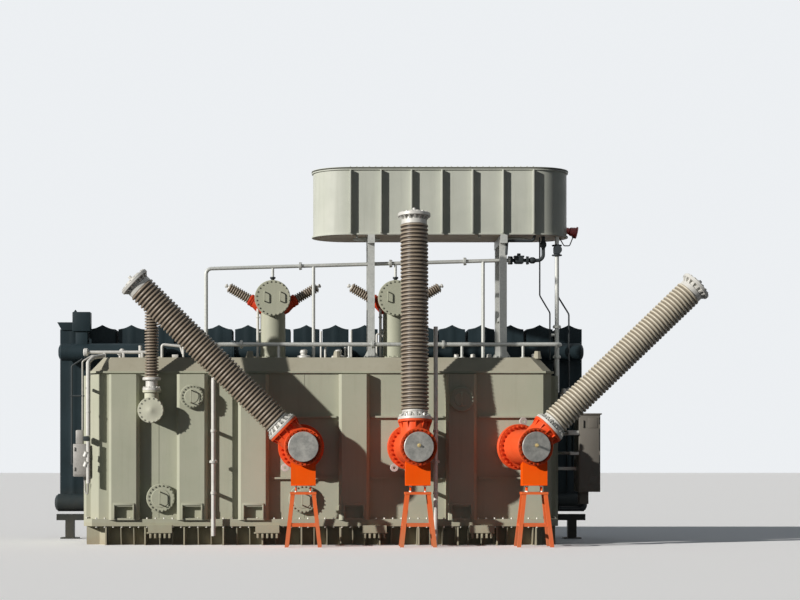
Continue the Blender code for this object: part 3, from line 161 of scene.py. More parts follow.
def weathered_paint(name, paint, chalked, grime, roughness, rain, dust, dust_top):
    """Sprayed paint that the weather has chalked, dulled and streaked, dusty from the ground to dust_top."""
    made, tree, shader, place = finish(name, roughness)
    shader.inputs["Specular IOR Level"].default_value = PAINT_SHINE
    clouds = add(tree, "TexNoise", {"Vector": place, "Scale": 0.9, "Detail": 7, "Roughness": 0.62})[0]
    chalk = add(tree, "MapRange", {"Value": clouds, "From Min": 0.36, "From Max": 0.66})[0]
    tone = add(tree, "Mix", {0: chalk, 6: colour(paint), 7: colour(chalked)}, data_type="RGBA")[2]
    upright = add(tree, "Mapping", {"Vector": place, "Scale": (9, 9, 0.5)})[0]
    runs = add(tree, "TexNoise", {"Vector": upright, "Scale": 1, "Detail": 5, "Roughness": 0.6})[0]
    run = add(tree, "MapRange", {"Value": runs, "From Min": 0.53, "From Max": 0.78, "To Max": rain})[0]
    tone = add(tree, "Mix", {0: run, 6: tone, 7: colour(grime)}, data_type="RGBA")[2]
    height = add(tree, "SeparateXYZ", {"Vector": place})[2]
    low = add(tree, "MapRange", {"Value": height, "From Min": dust_top, "From Max": 0.1, "To Max": dust})[0]
    patch = add(tree, "TexNoise", {"Vector": place, "Scale": 3.5, "Detail": 6, "Roughness": 0.7})[0]
    settled = add(tree, "Math", {0: low, 1: patch}, operation="MULTIPLY")[0]
    tone = add(tree, "Mix", {0: settled, 6: tone, 7: colour("9c8a70")}, data_type="RGBA")[2]
    tree.links.new(tone, shader.inputs["Base Color"])
    limits = {"From Min": 0.3, "From Max": 0.7, "To Min": roughness - 0.07, "To Max": roughness + 0.1}
    sheen = add(tree, "MapRange", {"Value": patch, **limits})[0]
    tree.links.new(sheen, shader.inputs["Roughness"])
    # The sprayed skin's orange peel is about 3 mm across; it is drawn 12 mm across, so that it shows.
    peel = add(tree, "TexNoise", {"Vector": place, "Scale": 1 / 0.012, "Detail": 2})[0]
    bump = add(tree, "Bump", {"Height": peel, "Strength": 0.15, "Distance": 0.002})[0]
    tree.links.new(bump, shader.inputs["Normal"])
    return made


def dress(node, paint):
    """Gives a node of the frame its finish."""
    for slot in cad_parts[node].material_slots:
        slot.material = paint


def towards(at, axis):
    """The place and turn that carry a form made along +Z to a point and a direction."""
    return Matrix.Translation(at) @ Vector(axis).to_track_quat("Z", "Y").to_matrix().to_4x4()


def join(shape, part, where=Matrix()):
    """Moves a finished form to its place and adds it to the shape."""
    part.transform(where)
    carrier = bpy.data.meshes.new("carrier")
    part.to_mesh(carrier)
    part.free()
    shape.from_mesh(carrier)
    bpy.data.meshes.remove(carrier)


def block(shape, size, centre, edge=0.0):
    """A plate or bar; edge rounds its corners."""
    part = bmesh.new()
    bmesh.ops.create_cube(part, size=1)
    bmesh.ops.scale(part, vec=size, verts=part.verts)
    if edge:
        bmesh.ops.bevel(
            part, geom=part.edges, offset=edge, affect="EDGES", segments=2, profile=0.5, material=-1
        )
    join(shape, part, Matrix.Translation(centre))


def plate(shape, outline, thickness, where):
    """A flat outline cut from plate, with its thickness along +Z of its own place."""
    part = bmesh.new()
    face = part.faces.new([part.verts.new((x, y, 0)) for x, y in outline])
    raised = bmesh.ops.extrude_face_region(part, geom=[face])["geom"]
    top = [item for item in raised if isinstance(item, bmesh.types.BMVert)]
    bmesh.ops.translate(part, vec=(0, 0, thickness), verts=top)
    bmesh.ops.recalc_face_normals(part, faces=part.faces)
    join(shape, part, where)


def bolt_head(shape, across, height, where):
    """One hexagon head, whose own place is its middle."""
    half = across / 2
    bmesh.ops.create_cone(
        shape, cap_ends=True, segments=6, radius1=half, radius2=half, depth=height, matrix=where
    )


def bolt_ring(shape, at, axis, radius, count, across, height):
    """Hexagon heads round a flange; each sinks a little into it."""
    part = bmesh.new()
    for i in range(count):
        turn = Matrix.Rotation(2 * math.pi * (i + 0.5) / count, 4, "Z")
        bolt_head(part, across, height, turn @ Matrix.Translation((radius, 0, height / 2 - 0.002)))
    join(shape, part, towards(at, axis))


def put(name, shape, paint, slot, *nodes):
    """Makes the shape a piece of the object; nodes are those of the frame that it stands for."""
    bmesh.ops.recalc_face_normals(shape, faces=shape.faces)
    mesh = bpy.data.meshes.new(name)
    shape.to_mesh(mesh)
    shape.free()
    mesh.shade_smooth()
    mesh.set_sharp_from_angle(angle=math.radians(35))
    mesh.materials.append(paint)
    piece = bpy.data.objects.new(name, mesh)
    scene.collection.objects.link(piece)
    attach(piece, "root")
    if nodes:
        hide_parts(*nodes)


def spread(count, span):
    """Evenly spaced places over a span centred on zero, its ends included."""
    return [span * (i / (count - 1) - 0.5) for i in range(count)]


skid_paint = weathered_paint("dusty_sage_two_pack_paint", "a0a28e", "abab98", "7d7b67", 0.55, 0.22, 1.0, 0.7)
dress("skid", skid_paint)
shape = bmesh.new()
for side in (-1, 1):
    upright = Matrix.Rotation(side * math.pi / 2, 4, "Z") @ Matrix.Rotation(math.pi / 2, 4, "X")
    for x in spread(GUSSETS, TANK_LENGTH - 0.8):
        outline = [(0, 0), (0.12, 0), (0.25, SKID_TOP), (0, SKID_TOP)]
        plate(shape, outline, 0.022, Matrix.Translation((x, side * 1.44, 0)) @ upright)
    for share in PAD_PLACES:
        for tooth in spread(5, 0.4):
            block(shape, (0.045, 0.05, 0.1), (share * TANK_LENGTH + tooth, side * PAD_FRONT, 0.2), 0.006)
        block(shape, (0.56, 0.03, 0.03), (share * TANK_LENGTH, side * PAD_FRONT, 0.26), 0.006)
put("skid_gussets_and_teeth", shape, skid_paint, "skid_paint")


# Bolts of the rim joint: zinc-plated hexagon heads a hand apart, above and below the rim that joins the
# tank to the skid.
def mottled(name, roughness, metallic, scale, detail, dark, light):
    """A plain hard finish whose tone drifts between two colours, in patches 1 / scale metres across."""
    made, tree, shader, place = finish(name, roughness, metallic)
    spots = add(tree, "TexNoise", {"Vector": place, "Scale": scale, "Detail": detail})[0]
    tone = add(tree, "Mix", {0: spots, 6: colour(dark), 7: colour(light)}, data_type="RGBA")[2]
    tree.links.new(tone, shader.inputs["Base Color"])
    return made


zinc = mottled("zinc_plated_bolts", 0.42, 0.85, 9, 5, "8f8f8a", "b9b5aa")
shape = bmesh.new()
for side in (-1, 1):
    for x in spread(RIM_BOLTS, TANK_LENGTH - 0.3):
        for z in (RIM_TOP + RIM_BOLT_HEIGHT / 2, SKID_TOP - RIM_BOLT_HEIGHT / 2):
            spot = Matrix.Translation((x, side * (TANK_DEPTH / 2 + BOLT_LINE), z))
            bolt_head(shape, RIM_BOLT, RIM_BOLT_HEIGHT, spot)
    for y in spread(16, TANK_DEPTH - 0.5):
        spot = Matrix.Translation((side * (TANK_LENGTH / 2 + BOLT_LINE), y, RIM_TOP + RIM_BOLT_HEIGHT / 2))
        bolt_head(shape, RIM_BOLT, RIM_BOLT_HEIGHT, spot)
put("rim_joint_bolts", shape, zinc, "galvanised")


# Tank: welded steel plate with box stiffeners, flat ribs and a shallow cover, sprayed sage grey.
# Weld beads run along the stiffeners, and a jacking bracket closes the foot of each.
STIFFENERS = (-4.135, -2.705, -1.42, 0.695, 2.945)
STIFFENER_FACE = TANK_FRONT - 0.2
STIFFENER_WIDTH = 0.64

tank_paint = weathered_paint("sage_two_pack_paint", "a3a592", "abab99", "83816e", 0.48, 0.22, 0.45, 1.0)
dress("tank_body", tank_paint)
cover_paint = weathered_paint("dusty_sage_cover_paint", "9c9785", "a4a08f", "827d6b", 0.5, 0.22, 0, 0.2)
dress("tank_cover", cover_paint)
shape = bmesh.new()
for x in STIFFENERS:
    for edge in (-1, 1):
        block(shape, (0.014, 0.014, 3.0), (x + edge * STIFFENER_WIDTH / 2, TANK_FRONT - 0.004, 2.08))
    block(shape, (0.44, 0.03, 0.05), (x, STIFFENER_FACE - 0.01, 0.86), 0.006)
    for edge in (-1, 1):
        block(shape, (0.03, 0.05, 0.3), (x + edge * 0.205, STIFFENER_FACE - 0.015, 0.7), 0.006)
for x in (-3.42, -0.36, 1.82):
    block(shape, (0.012, 0.008, 3.05), (x, TANK_FRONT - 0.002, 2.1))
put("tank_weld_beads_and_brackets", shape, tank_paint, "tank_paint")


# Hatches: round bolted hand-hole covers of the tank's plate, with a bent bar handle each.
# They are painted with the tank; dust and old paint gather round the bolts.
HATCHES = {
    "hatch_lower_left": (-3.37, 0.99, 0.3, TANK_FRONT),
    "hatch_lower_middle": (-0.38, 0.97, 0.3, TANK_FRONT),
    "hatch_upper_left": (-2.705, 3.12, 0.25, STIFFENER_FACE),
    "hatch_upper_right": (2.945, 3.06, 0.26, STIFFENER_FACE),
}
LID_FACE = 0.108
TO_FRONT = (0, -1, 0)


def lathe(profile, steps):
    """Spins a profile, (radius, distance along the axis) from the top down; its ends are closed across the
    axis, unless it comes back to its start."""
    top, foot = profile[0], profile[-1]
    if top != foot:
        profile = [(0, top[1])] * (top[0] > 0) + profile + [(0, foot[1])] * (foot[0] > 0)
    part = bmesh.new()
    corners = [part.verts.new((radius, 0, along)) for radius, along in profile]
    lines = [part.edges.new(pair) for pair in zip(corners, corners[1:])]
    bmesh.ops.spin(
        part, geom=corners + lines, axis=UP, angle=2 * math.pi, steps=steps, use_merge=True
    )
    bmesh.ops.remove_doubles(part, verts=part.verts, dist=1e-5)
    bmesh.ops.recalc_face_normals(part, faces=part.faces)
    return part


def turned(shape, profile, at, axis, steps=48):
    """A form turned on a lathe and carried to its place."""
    join(shape, lathe(profile, steps), towards(at, axis))


def pipe(shape, points, radius, bend=0.0, sides=16):
    """A round bar or pipe along the points, with its corners bent to the given radius."""
    points = [Vector(point) for point in points]
    route = [points[0]]
    for before, corner, after in zip(points, points[1:], points[2:]):
        back, on = (before - corner).normalized(), (after - corner).normalized()
        half = back.angle(on) / 2
        centre = corner + (back + on).normalized() * bend / math.sin(half)
        first = corner + back * bend / math.tan(half) - centre
        last = corner + on * bend / math.tan(half) - centre
        turn = first.rotation_difference(last)
        route += [centre + Matrix.Rotation(turn.angle * i / 6, 3, turn.axis) @ first for i in range(7)]
    route.append(points[-1])
    curve = bpy.data.curves.new("route", "CURVE")
    curve.dimensions = "3D"
    curve.bevel_depth = radius
    curve.bevel_resolution = sides // 4 - 1
    curve.use_fill_caps = True
    line = curve.splines.new("POLY")
    line.points.add(len(route) - 1)
    for spot, at in zip(line.points, route):
        spot.co = (*at, 1)
    guide = bpy.data.objects.new("route", curve)
    scene.collection.objects.link(guide)
    bpy.context.view_layer.update()
    mesh = bpy.data.meshes.new_from_object(guide.evaluated_get(bpy.context.evaluated_depsgraph_get()))
    bpy.data.objects.remove(guide, do_unlink=True)
    part = bmesh.new()
    part.from_mesh(mesh)
    bpy.data.meshes.remove(mesh)
    bmesh.ops.remove_doubles(part, verts=part.verts, dist=1e-5)
    bmesh.ops.recalc_face_normals(part, faces=part.faces)
    join(shape, part)


def grip(shape, centre, span, reach):
    """An upright bent bar handle whose feet run into the face behind it."""
    centre, out, half = Vector(centre), Vector(TO_FRONT), Vector(UP) * span / 2
    feet = [centre - half - out * 0.02, centre + half - out * 0.02]
    pipe(shape, [feet[0], centre - half + out * reach, centre + half + out * reach, feet[1]], 0.013, 0.03, 8)


for name, (x, z, radius, face) in HATCHES.items():
    shape = bmesh.new()
    lid = [(radius - 0.11, 0.118), (radius - 0.1, LID_FACE), (radius - 0.012, LID_FACE), (radius, 0.098)]
    joint = [(radius, 0.076), (radius - 0.004, 0.073), (radius, 0.07), (radius, 0.046)]
    turned(shape, [*lid, *joint, (radius - 0.05, 0.044), (radius - 0.05, 0)], (x, face, z), TO_FRONT)
    grip(shape, (x - 0.01, face - 0.115, z), 0.26, 0.12)
    bolt_ring(shape, (x, face - LID_FACE, z), TO_FRONT, radius - 0.035, 20, 0.036, 0.026)
    dress(name, tank_paint)
    put(f"{name}_bolted", shape, tank_paint, "tank_paint", name)


# High-voltage turrets: rolled and welded steel drums with bolted ring joints, in orange-red primer that
# has dulled in patches. Each carries a long bushing on a stub, and its front is closed by a blank plate.
HV_PLACES = {"left": -0.415, "centre": 1.86, "right": 4.135}
HV_YAW = {"left": 3.2, "centre": 8.7, "right": 16.9}
HV_TILT = {"left": -45.5, "centre": 5.0, "right": 46.4}
HV_LEAN = {"left": 2.0, "centre": 90.0, "right": 5.0}
HV_HEIGHT = 2.06
NOZZLE_LENGTH = 0.38
BODY_RADIUS = 0.36
BODY_LENGTH = 0.91
STUB_LENGTH = 0.56
BUSHING_LENGTH = 4.88
FRONT_TO_STUB = 0.37
JOINT_FLANGE = 0.48
PLATE_RISE = {"left": 0.075, "centre": 0.055, "right": 0.045}
PLUG_TIP = {"centre": 0.1, "right": 0.13}


def rim(radius, low, high, edge=0.008):
    """Profile of a flange's rim between two distances, its corners taken off."""
    return [(radius - edge, high), (radius, high - edge), (radius, low + edge), (radius - edge, low)]


def hoop(radius, inner, low, high):
    """Profile of a ring with a hole through it."""
    return [(inner, high), *rim(radius, low, high, 0.004), (inner, low), (inner, high)]


def webs(shape, place, count, root, reach, height, thickness):
    """Triangular webs round a collar, from its foot up; a negative height turns them upside down."""
    for i in range(count):
        swing = Matrix.Rotation(2 * math.pi * i / count, 4, "Z") @ Matrix.Rotation(math.pi / 2, 4, "X")
        where = place @ swing @ Matrix.Translation((root, 0, -thickness / 2))
        plate(shape, [(0, 0), (reach, 0), (0, height)], thickness, where)


orange = weathered_paint("orange_red_primer", "d84c22", "dc5c32", "b04420", 0.46, 0.25, 0.2, 0.8)
blank_steel, tree, shader, place = finish("bare_turned_steel_plate", 0.5, 0.25)
# The blank plates are bare steel faced on a lathe, which the weather has mottled and dulled.
spots = add(tree, "TexNoise", {"Vector": place, "Scale": 7, "Detail": 6, "Roughness": 0.7})[0]
mottle = add(tree, "MapRange", {"Value": spots, "From Min": 0.36, "From Max": 0.66})[0]
tone = add(tree, "Mix", {0: mottle, 6: colour("858580"), 7: colour("aeaca5")}, data_type="RGBA")[2]
tree.links.new(tone, shader.inputs["Base Color"])
dull = add(tree, "MapRange", {"Value": spots, "To Min": 0.3, "To Max": 0.6})[0]
tree.links.new(dull, shader.inputs["Roughness"])
scratches = add(tree, "TexNoise", {"Vector": place, "Scale": 45, "Detail": 4})[0]
bump = add(tree, "Bump", {"Height": scratches, "Strength": 0.2, "Distance": 0.002})[0]
tree.links.new(bump, shader.inputs["Normal"])

brass = mottled("brass_vent_plug", 0.35, 0.6, 30, 3, "b39a62", "d8c795")
white_metal, tree, shader, place = finish("silver_painted_cast_aluminium", 0.5, 0.1)
# The bushings' flanges are cast aluminium with a thin silver-white paint, grey in its hollows. The cast
# grain is about 2 mm across; it is drawn 10 mm across, so that it shows.
spots = add(tree, "TexNoise", {"Vector": place, "Scale": 8, "Detail": 6, "Roughness": 0.65})[0]
tone = add(tree, "Mix", {0: spots, 6: colour("adaca7"), 7: colour("d6d4cd")}, data_type="RGBA")[2]
tree.links.new(tone, shader.inputs["Base Color"])
cast = add(tree, "TexNoise", {"Vector": place, "Scale": 1 / 0.01, "Detail": 2})[0]
bump = add(tree, "Bump", {"Height": cast, "Strength": 0.2, "Distance": 0.002})[0]
tree.links.new(bump, shader.inputs["Normal"])


def direction(tilt, lean):
    """A unit vector tilted from upright towards +X, in a plane turned from X by the lean, in degrees."""
    tilt, lean = math.radians(tilt), math.radians(lean)
    return Vector((math.sin(tilt) * math.cos(lean), math.sin(tilt) * math.sin(lean), math.cos(tilt)))


hv_frames = {}
for name, x in HV_PLACES.items():
    yaw = math.radians(HV_YAW[name])
    forward = Vector((math.sin(yaw), -math.cos(yaw), 0))
    up = direction(HV_TILT[name], HV_LEAN[name])
    wall = Vector((x, TANK_FRONT, HV_HEIGHT))
    joint = wall - Vector((0, NOZZLE_LENGTH, 0))
    front = joint + forward * BODY_LENGTH
    elbow = front - forward * FRONT_TO_STUB
    stub_end = elbow + up * STUB_LENGTH
    hv_frames[name] = (front, forward, up, stub_end)
    shape = bmesh.new()
    turned(shape, [(0.4, NOZZLE_LENGTH + 0.01), (0.4, 0)], wall, TO_FRONT)
    turned(shape, rim(JOINT_FLANGE, -0.05, -0.002), joint, forward, 64)
    turned(shape, rim(JOINT_FLANGE, 0.004, 0.05), joint, forward, 64)
    turned(shape, [(BODY_RADIUS, 0), (BODY_RADIUS, -BODY_LENGTH)], front, forward)
    turned(shape, rim(BODY_RADIUS + 0.03, -0.06, 0), front, forward)
    turned(shape, [(0.3, STUB_LENGTH), (0.3, 0)], elbow, up)
    turned(shape, rim(0.355, -0.05, 0), stub_end, up)
    webs(shape, towards(stub_end - up * 0.05, up), 12, 0.29, 0.06, -0.16, 0.016)
    put(f"hv_{name}_turret_casing", shape, orange, "orange_primer", f"hv_{name}_turret")

    shape = bmesh.new()
    bolt_ring(shape, joint + forward * 0.05, forward, 0.43, 28, 0.045, 0.035)
    bolt_ring(shape, joint - forward * 0.05, -forward, 0.44, 28, 0.04, 0.03)
    bolt_ring(shape, front, forward, 0.352, 24, 0.028, 0.02)
    put(f"hv_{name}_turret_bolts", shape, orange, "orange_primer")

    # The blank plate is bolted on a short spacer ring, so it stands off the turret's own front ring.
    # Two of the three carry a brass vent plug.
    rise = PLATE_RISE[name]
    shape = bmesh.new()
    profile = [(0.3, rise), (0.31, rise - 0.008), (0.31, rise - 0.027), (0.29, rise - 0.035)]
    turned(shape, [*profile, (0.27, rise - 0.035), (0.27, 0)], front, forward, 64)
    put(f"hv_{name}_blank_plate", shape, blank_steel, "galvanised", f"hv_{name}_blank_cover")
    if name in PLUG_TIP:
        tip = PLUG_TIP[name]
        shape = bmesh.new()
        profile = [(0, tip), (0.02, tip - 0.004), (0.024, tip - 0.012), (0.024, rise + 0.015)]
        profile += [(0.04, rise + 0.01), (0.04, rise - 0.01)]
        turned(shape, profile, front + Vector((0, 0, 0.03)), forward, 20)
        put(f"hv_{name}_vent_plug", shape, brass, "galvanised")
    shape = bmesh.new()
    swing = math.radians(-10 if name == "right" else 142)
    out = Vector((-math.sin(swing) * math.cos(yaw), -math.sin(swing) * math.sin(yaw), math.cos(swing)))
    turned(shape, hoop(0.085, 0.032, -0.015, 0.015), joint + out * 0.545, forward, 24)
    put(f"hv_{name}_lifting_eye", shape, white_metal, "galvanised")


# High-voltage bushings: hollow porcelain with some fifty sheds, in a brown-grey glaze, drawn darker at
# the core of the sheds, painted shade between them, and lighter at the rims, partly dust and partly
# painted highlight. The right one is drawn in a paler copy of the glaze, painted light for the way the sun
# falls on it. Cast aluminium collars with webs between their bolts are cemented on both ends.
SHEDS = 48
CORE = 0.25
SHED = 0.291
FOOT_TOP = 0.2
NECK = BUSHING_LENGTH - STUB_LENGTH - 0.24


def glazed_porcelain(name, glaze, dust, core_shade):
    """Glazed porcelain; the reach attribute is 0 at the core of the sheds and 1 at their rims. The core
    colour is painted shade between the sheds; the rims mix in dust and painted highlight.
    """
    made, tree, shader, place = finish(name, 0.4)
    out = add(tree, "Attribute", {}, attribute_name="reach")["Fac"]
    clouds = add(tree, "TexNoise", {"Vector": place, "Scale": 2.2, "Detail": 6, "Roughness": 0.6})[0]
    # Darker towards the core of each shed: painted shade between the sheds.
    body = add(tree, "Mix", {0: out, 6: colour(core_shade), 7: colour(glaze)}, data_type="RGBA")[2]
    # The rims are lighter in patches: partly dust, partly painted highlight.
    rim_band = add(tree, "MapRange", {"Value": out, "From Min": 0.8, "From Max": 1, "To Max": 0.9})[0]
    rim_dust_and_highlight = add(tree, "Math", {0: rim_band, 1: clouds}, operation="MULTIPLY")[0]
    tone = add(tree, "Mix", {0: rim_dust_and_highlight, 6: body, 7: colour(dust)}, data_type="RGBA")[2]
    tree.links.new(tone, shader.inputs["Base Color"])
    sheen = add(tree, "MapRange", {"Value": clouds, "To Min": 0.38, "To Max": 0.56})[0]
    tree.links.new(sheen, shader.inputs["Roughness"])
    shader.inputs["Coat Weight"].default_value = 0.06
    shader.inputs["Coat Roughness"].default_value = 0.25
    return made


def sheds(shape, core, lip, low, high, count, at, axis, steps=48):
    """A stack of porcelain sheds; each slopes down to a full rounded lip and is undercut."""
    shape.verts.layers.float.new("reach")
    pitch = (high - low) / count
    profile = []
    for i in reversed(range(count)):
        top = low + pitch * (i + 1)
        profile += [
            (core, top),
            (lip - pitch * 0.12, top - pitch * 0.22),
            (lip - pitch * 0.02, top - pitch * 0.36),
            (lip, top - pitch * 0.52),
            (lip - pitch * 0.04, top - pitch * 0.66),
            (core + (lip - core) * 0.4, top - pitch * 0.76),
            (core, top - pitch * 0.86),
        ]
    part = lathe([*profile, (core, low)], steps)
    reach = part.verts.layers.float.new("reach")
    for corner in part.verts:
        corner[reach] = min(1, max(0, (corner.co.xy.length - core) / (lip - core)))
    join(shape, part, towards(at, axis))


porcelain = glazed_porcelain("brown_glazed_porcelain", "76695a", "a0937f", "443b32")
# A paler copy of the same brown glaze for the right bushing: painted light, for the way the sun falls on it.
sunlit_porcelain_copy = glazed_porcelain("brown_glazed_porcelain_painted_lighter", "b8af9c", "d6cfbd", "786f60")
for name, (front, forward, up, foot) in hv_frames.items():
    shape = bmesh.new()
    sheds(shape, CORE, SHED, FOOT_TOP - 0.01, NECK + 0.01, SHEDS, foot, up)
    # The right bushing takes the paler copy of the glaze: painted light.
    glaze = sunlit_porcelain_copy if name == "right" else porcelain
    put(f"hv_{name}_porcelain", shape, glaze, "brown_porcelain", f"hv_{name}_bushing")

    shape = bmesh.new()
    length = BUSHING_LENGTH - STUB_LENGTH
    collar = [(0.255, FOOT_TOP), (0.268, FOOT_TOP - 0.01), (0.268, FOOT_TOP - 0.035)]
    collar += [(0.252, FOOT_TOP - 0.045), (0.252, 0.06)]
    turned(shape, [*collar, *rim(0.355, 0.001, 0.06)], foot, up, 64)
    webs(shape, towards(foot + up * 0.058, up), 16, 0.25, 0.095, 0.105, 0.045)
    post = [(0.03, length + 0.12), (0.035, length + 0.11), (0.035, length + 0.05)]
    cap = [(0.19, length + 0.045), (0.23, length + 0.01), *rim(0.34, length - 0.07, length)]
    neck = [(0.24, length - 0.07), (0.24, NECK + 0.1), *rim(0.268, NECK, NECK + 0.1)]
    turned(shape, [*post, *cap, *neck], foot, up, 64)
    webs(shape, towards(foot + up * (length - 0.068), up), 16, 0.235, 0.09, -0.1, 0.04)
    bolt_ring(shape, foot + up * length, up, 0.29, 16, 0.05, 0.025)
    put(f"hv_{name}_bushing_ends", shape, white_metal, "galvanised")
    shape = bmesh.new()
    bolt_ring(shape, foot + up * 0.06, up, 0.31, 16, 0.045, 0.05)
    put(f"hv_{name}_bushing_foot_bolts", shape, zinc, "galvanised")


# Saddles and trestles: a welded box with a cradle on four jack screws, on a splayed steel trestle.
# Both are painted with the turrets; the trestles have been knocked about and are duller.
SADDLE_HEIGHT = 0.51
CRADLE_DEPTH = 0.07

saddle_orange = weathered_paint("orange_saddle_primer", "ea5200", "ee5c08", "c84c12", 0.5, 0.25, 0.2, 0.8)
trestle_orange = weathered_paint("knocked_orange_primer", "e2602c", "d8703f", "8c4a30", 0.55, 0.4, 0.5, 0.8)
for name, (front, forward, up, foot) in hv_frames.items():
    dress(f"hv_{name}_saddle", saddle_orange)
    dress(f"hv_{name}_trestle", trestle_orange)
    centre = Vector((front.x, front.y + 0.4, HV_HEIGHT - BODY_RADIUS + CRADLE_DEPTH - SADDLE_HEIGHT))
    shape = bmesh.new()
    for x in (-0.15, 0.15):
        for y in (-0.125, 0.125):
            spot = centre + Vector((x, y, 0))
            bolt_ring(shape, spot, (0, 0, -1), 0, 1, 0.06, 0.025)
            bolt_ring(shape, spot - Vector((0, 0, 0.13)), UP, 0, 1, 0.06, 0.025)
    put(f"hv_{name}_jack_nuts", shape, zinc, "galvanised")
    shape = bmesh.new()
    for y in (-0.232, 0.232):
        block(shape, (0.51, 0.012, 0.02), centre + Vector((0, y, 0.495)), 0.003)
        block(shape, (0.51, 0.012, 0.02), centre + Vector((0, y, 0.012)), 0.003)
    put(f"hv_{name}_saddle_lips", shape, saddle_orange, "orange_primer")


# Neutral bushing: a small elbow on the tank's left, painted a paler sage, with a bolted front plate and
# an upright porcelain on a spool. The porcelain has the long bushings' brown glaze.
NEUTRAL_WALL = Vector((-3.545, TANK_FRONT, 2.83))
ELBOW_REACH = 0.5
SPOOL_FOOT = 0.42

pale_sage = weathered_paint("pale_sage_elbow_paint", "bcbca9", "c6c5b4", "97968a", 0.5, 0.25, 0, 0.2)
shape = bmesh.new()
front = NEUTRAL_WALL - Vector((0, ELBOW_REACH, 0))
elbow = front + Vector((0, ELBOW_REACH / 2, 0))
turned(shape, [(0.23, ELBOW_REACH), (0.23, 0)], NEUTRAL_WALL, TO_FRONT)
turned(shape, [(0.05, 0.056), (0.06, 0.05), *rim(0.27, 0.003, 0.05)], front, TO_FRONT)
turned(shape, rim(0.27, -0.05, -0.003), front, TO_FRONT)
turned(shape, [(0.15, SPOOL_FOOT), (0.15, 0)], elbow, UP)
turned(shape, rim(0.19, SPOOL_FOOT - 0.05, SPOOL_FOOT), elbow, UP)
bolt_ring(shape, front - Vector((0, 0.05, 0)), TO_FRONT, 0.245, 16, 0.03, 0.022)
put("neutral_elbow_casing", shape, pale_sage, "galvanised", "neutral_elbow")
foot = elbow + Vector((0, 0, SPOOL_FOOT))
shape = bmesh.new()
sheds(shape, 0.105, 0.148, 0.25, 1.89, 27, foot, UP, 40)
put("neutral_porcelain", shape, porcelain, "brown_porcelain", "neutral_bushing")
shape = bmesh.new()
spool = [*rim(0.19, 0.21, 0.27), (0.125, 0.2), (0.125, 0.07), (0.19, 0.05), (0.19, 0.001)]
turned(shape, spool, foot, UP)
turned(shape, [(0.05, 2.02), (0.1, 1.99), (0.1, 1.88)], foot, UP)
bolt_ring(shape, foot + Vector((0, 0, 0.05)), UP, 0.17, 12, 0.028, 0.03)
put("neutral_spool_and_cap", shape, white_metal, "galvanised")


# Low-voltage turrets: an upright column on the cover under a flat drum whose bolted lid faces the front,
# with two short raised bushings on red-primed cones. A thin cable pipe climbs beside the column.
LV_PLACES = {"left": -1.04, "right": 1.61}
LV_Y = -0.3
LV_HEIGHT = 1.31
LV_HALF_DEPTH = 0.38
DECK = 3.961

red_cone = weathered_paint("dark_red_primer", "b2321a", "cc4a28", "6c1d12", 0.45, 0.3, 0, 0.2)
for name, x in LV_PLACES.items():
    base = Vector((x, LV_Y, DECK))
    drum = base + Vector((0, 0, LV_HEIGHT))
    shape = bmesh.new()
    turned(shape, [(0.27, LV_HEIGHT), (0.27, 0)], base, UP)
    turned(shape, rim(0.34, 0, 0.05), base, UP)
    casing = [*rim(0.385, LV_HALF_DEPTH - 0.05, LV_HALF_DEPTH), (0.36, 0.33), (0.36, -LV_HALF_DEPTH)]
    turned(shape, casing, drum, TO_FRONT, 64)
    bolt_ring(shape, base + Vector((0, 0, 0.05)), UP, 0.31, 20, 0.035, 0.025)
    front = drum - Vector((0, LV_HALF_DEPTH, 0))
    turned(shape, rim(0.385, 0.003, 0.04), front, TO_FRONT, 64)
    for side in (-1, 1):
        grip(shape, front + Vector((side * 0.17, -0.04, 0.03)), 0.2, 0.08)
    bolt_ring(shape, front - Vector((0, 0.04, 0)), TO_FRONT, 0.355, 24, 0.034, 0.024)
    put(f"lv_{name}_column_and_drum", shape, tank_paint, "tank_paint", f"lv_{name}_turret")
    shape = bmesh.new()
    foot = base + Vector((-0.325, -0.1, 0))
    pipe(shape, [foot, foot + Vector((0, 0, 1.12))], 0.03)
    for z in (0.05, 0.9):
        turned(shape, hoop(0.042, 0.02, z, z + 0.03), foot, UP, 20)
    block(shape, (0.1, 0.03, 0.03), foot + Vector((0.05, 0, 0.6)), 0.004)
    put(f"lv_{name}_cable_pipe", shape, white_metal, "galvanised")
    start = base + Vector((0, 0, 1.02))
    for side, label in ((-1, "left"), (1, "right")):
        axis = direction(side * 60, 0)
        foot = start + axis * 0.53
        shape = bmesh.new()
        cone = [*rim(0.125, 0.49, 0.53, 0.005), (0.115, 0.48), (0.17, 0.3), (0.17, 0.1)]
        turned(shape, cone, start, axis, 32)
        webs(shape, towards(start + axis * 0.49, axis), 6, 0.11, 0.04, -0.12, 0.012)
        turned(shape, [(0.1, 0.06), (0.118, 0.05), *rim(0.13, 0.001, 0.04)], foot, axis, 32)
        put(f"lv_{name}_cone_{label}", shape, red_cone, "orange_primer")
        shape = bmesh.new()
        sheds(shape, 0.078, 0.11, 0.055, 0.565, 10, foot, axis, 32)
        bushing = f"lv_{name}_bushing_{label}"
        put(f"lv_{name}_porcelain_{label}", shape, porcelain, "brown_porcelain", bushing)
        shape = bmesh.new()
        tip = [(0.03, 0.66), (0.045, 0.645), (0.045, 0.62), (0.025, 0.61), (0.025, 0.59)]
        turned(shape, [*tip, (0.075, 0.58), (0.085, 0.565), (0.085, 0.54)], foot, axis, 32)
        put(f"lv_{name}_cap_{label}", shape, white_metal, "galvanised")


# Conservator: a long welded tank with round ends and flat ribs, closed by a lid with an overhang.
# It is painted a lighter grey-green than the main tank, and rain has marked the sides under the lid.
CONSERVATOR_X = 2.59
CONSERVATOR_LENGTH = 5.52
CONSERVATOR_WIDTH = 1.6
STRAIGHT = CONSERVATOR_LENGTH - CONSERVATOR_WIDTH
END_STEPS = 24
CONSERVATOR_LOW = 6.62
CONSERVATOR_HIGH = 8.04


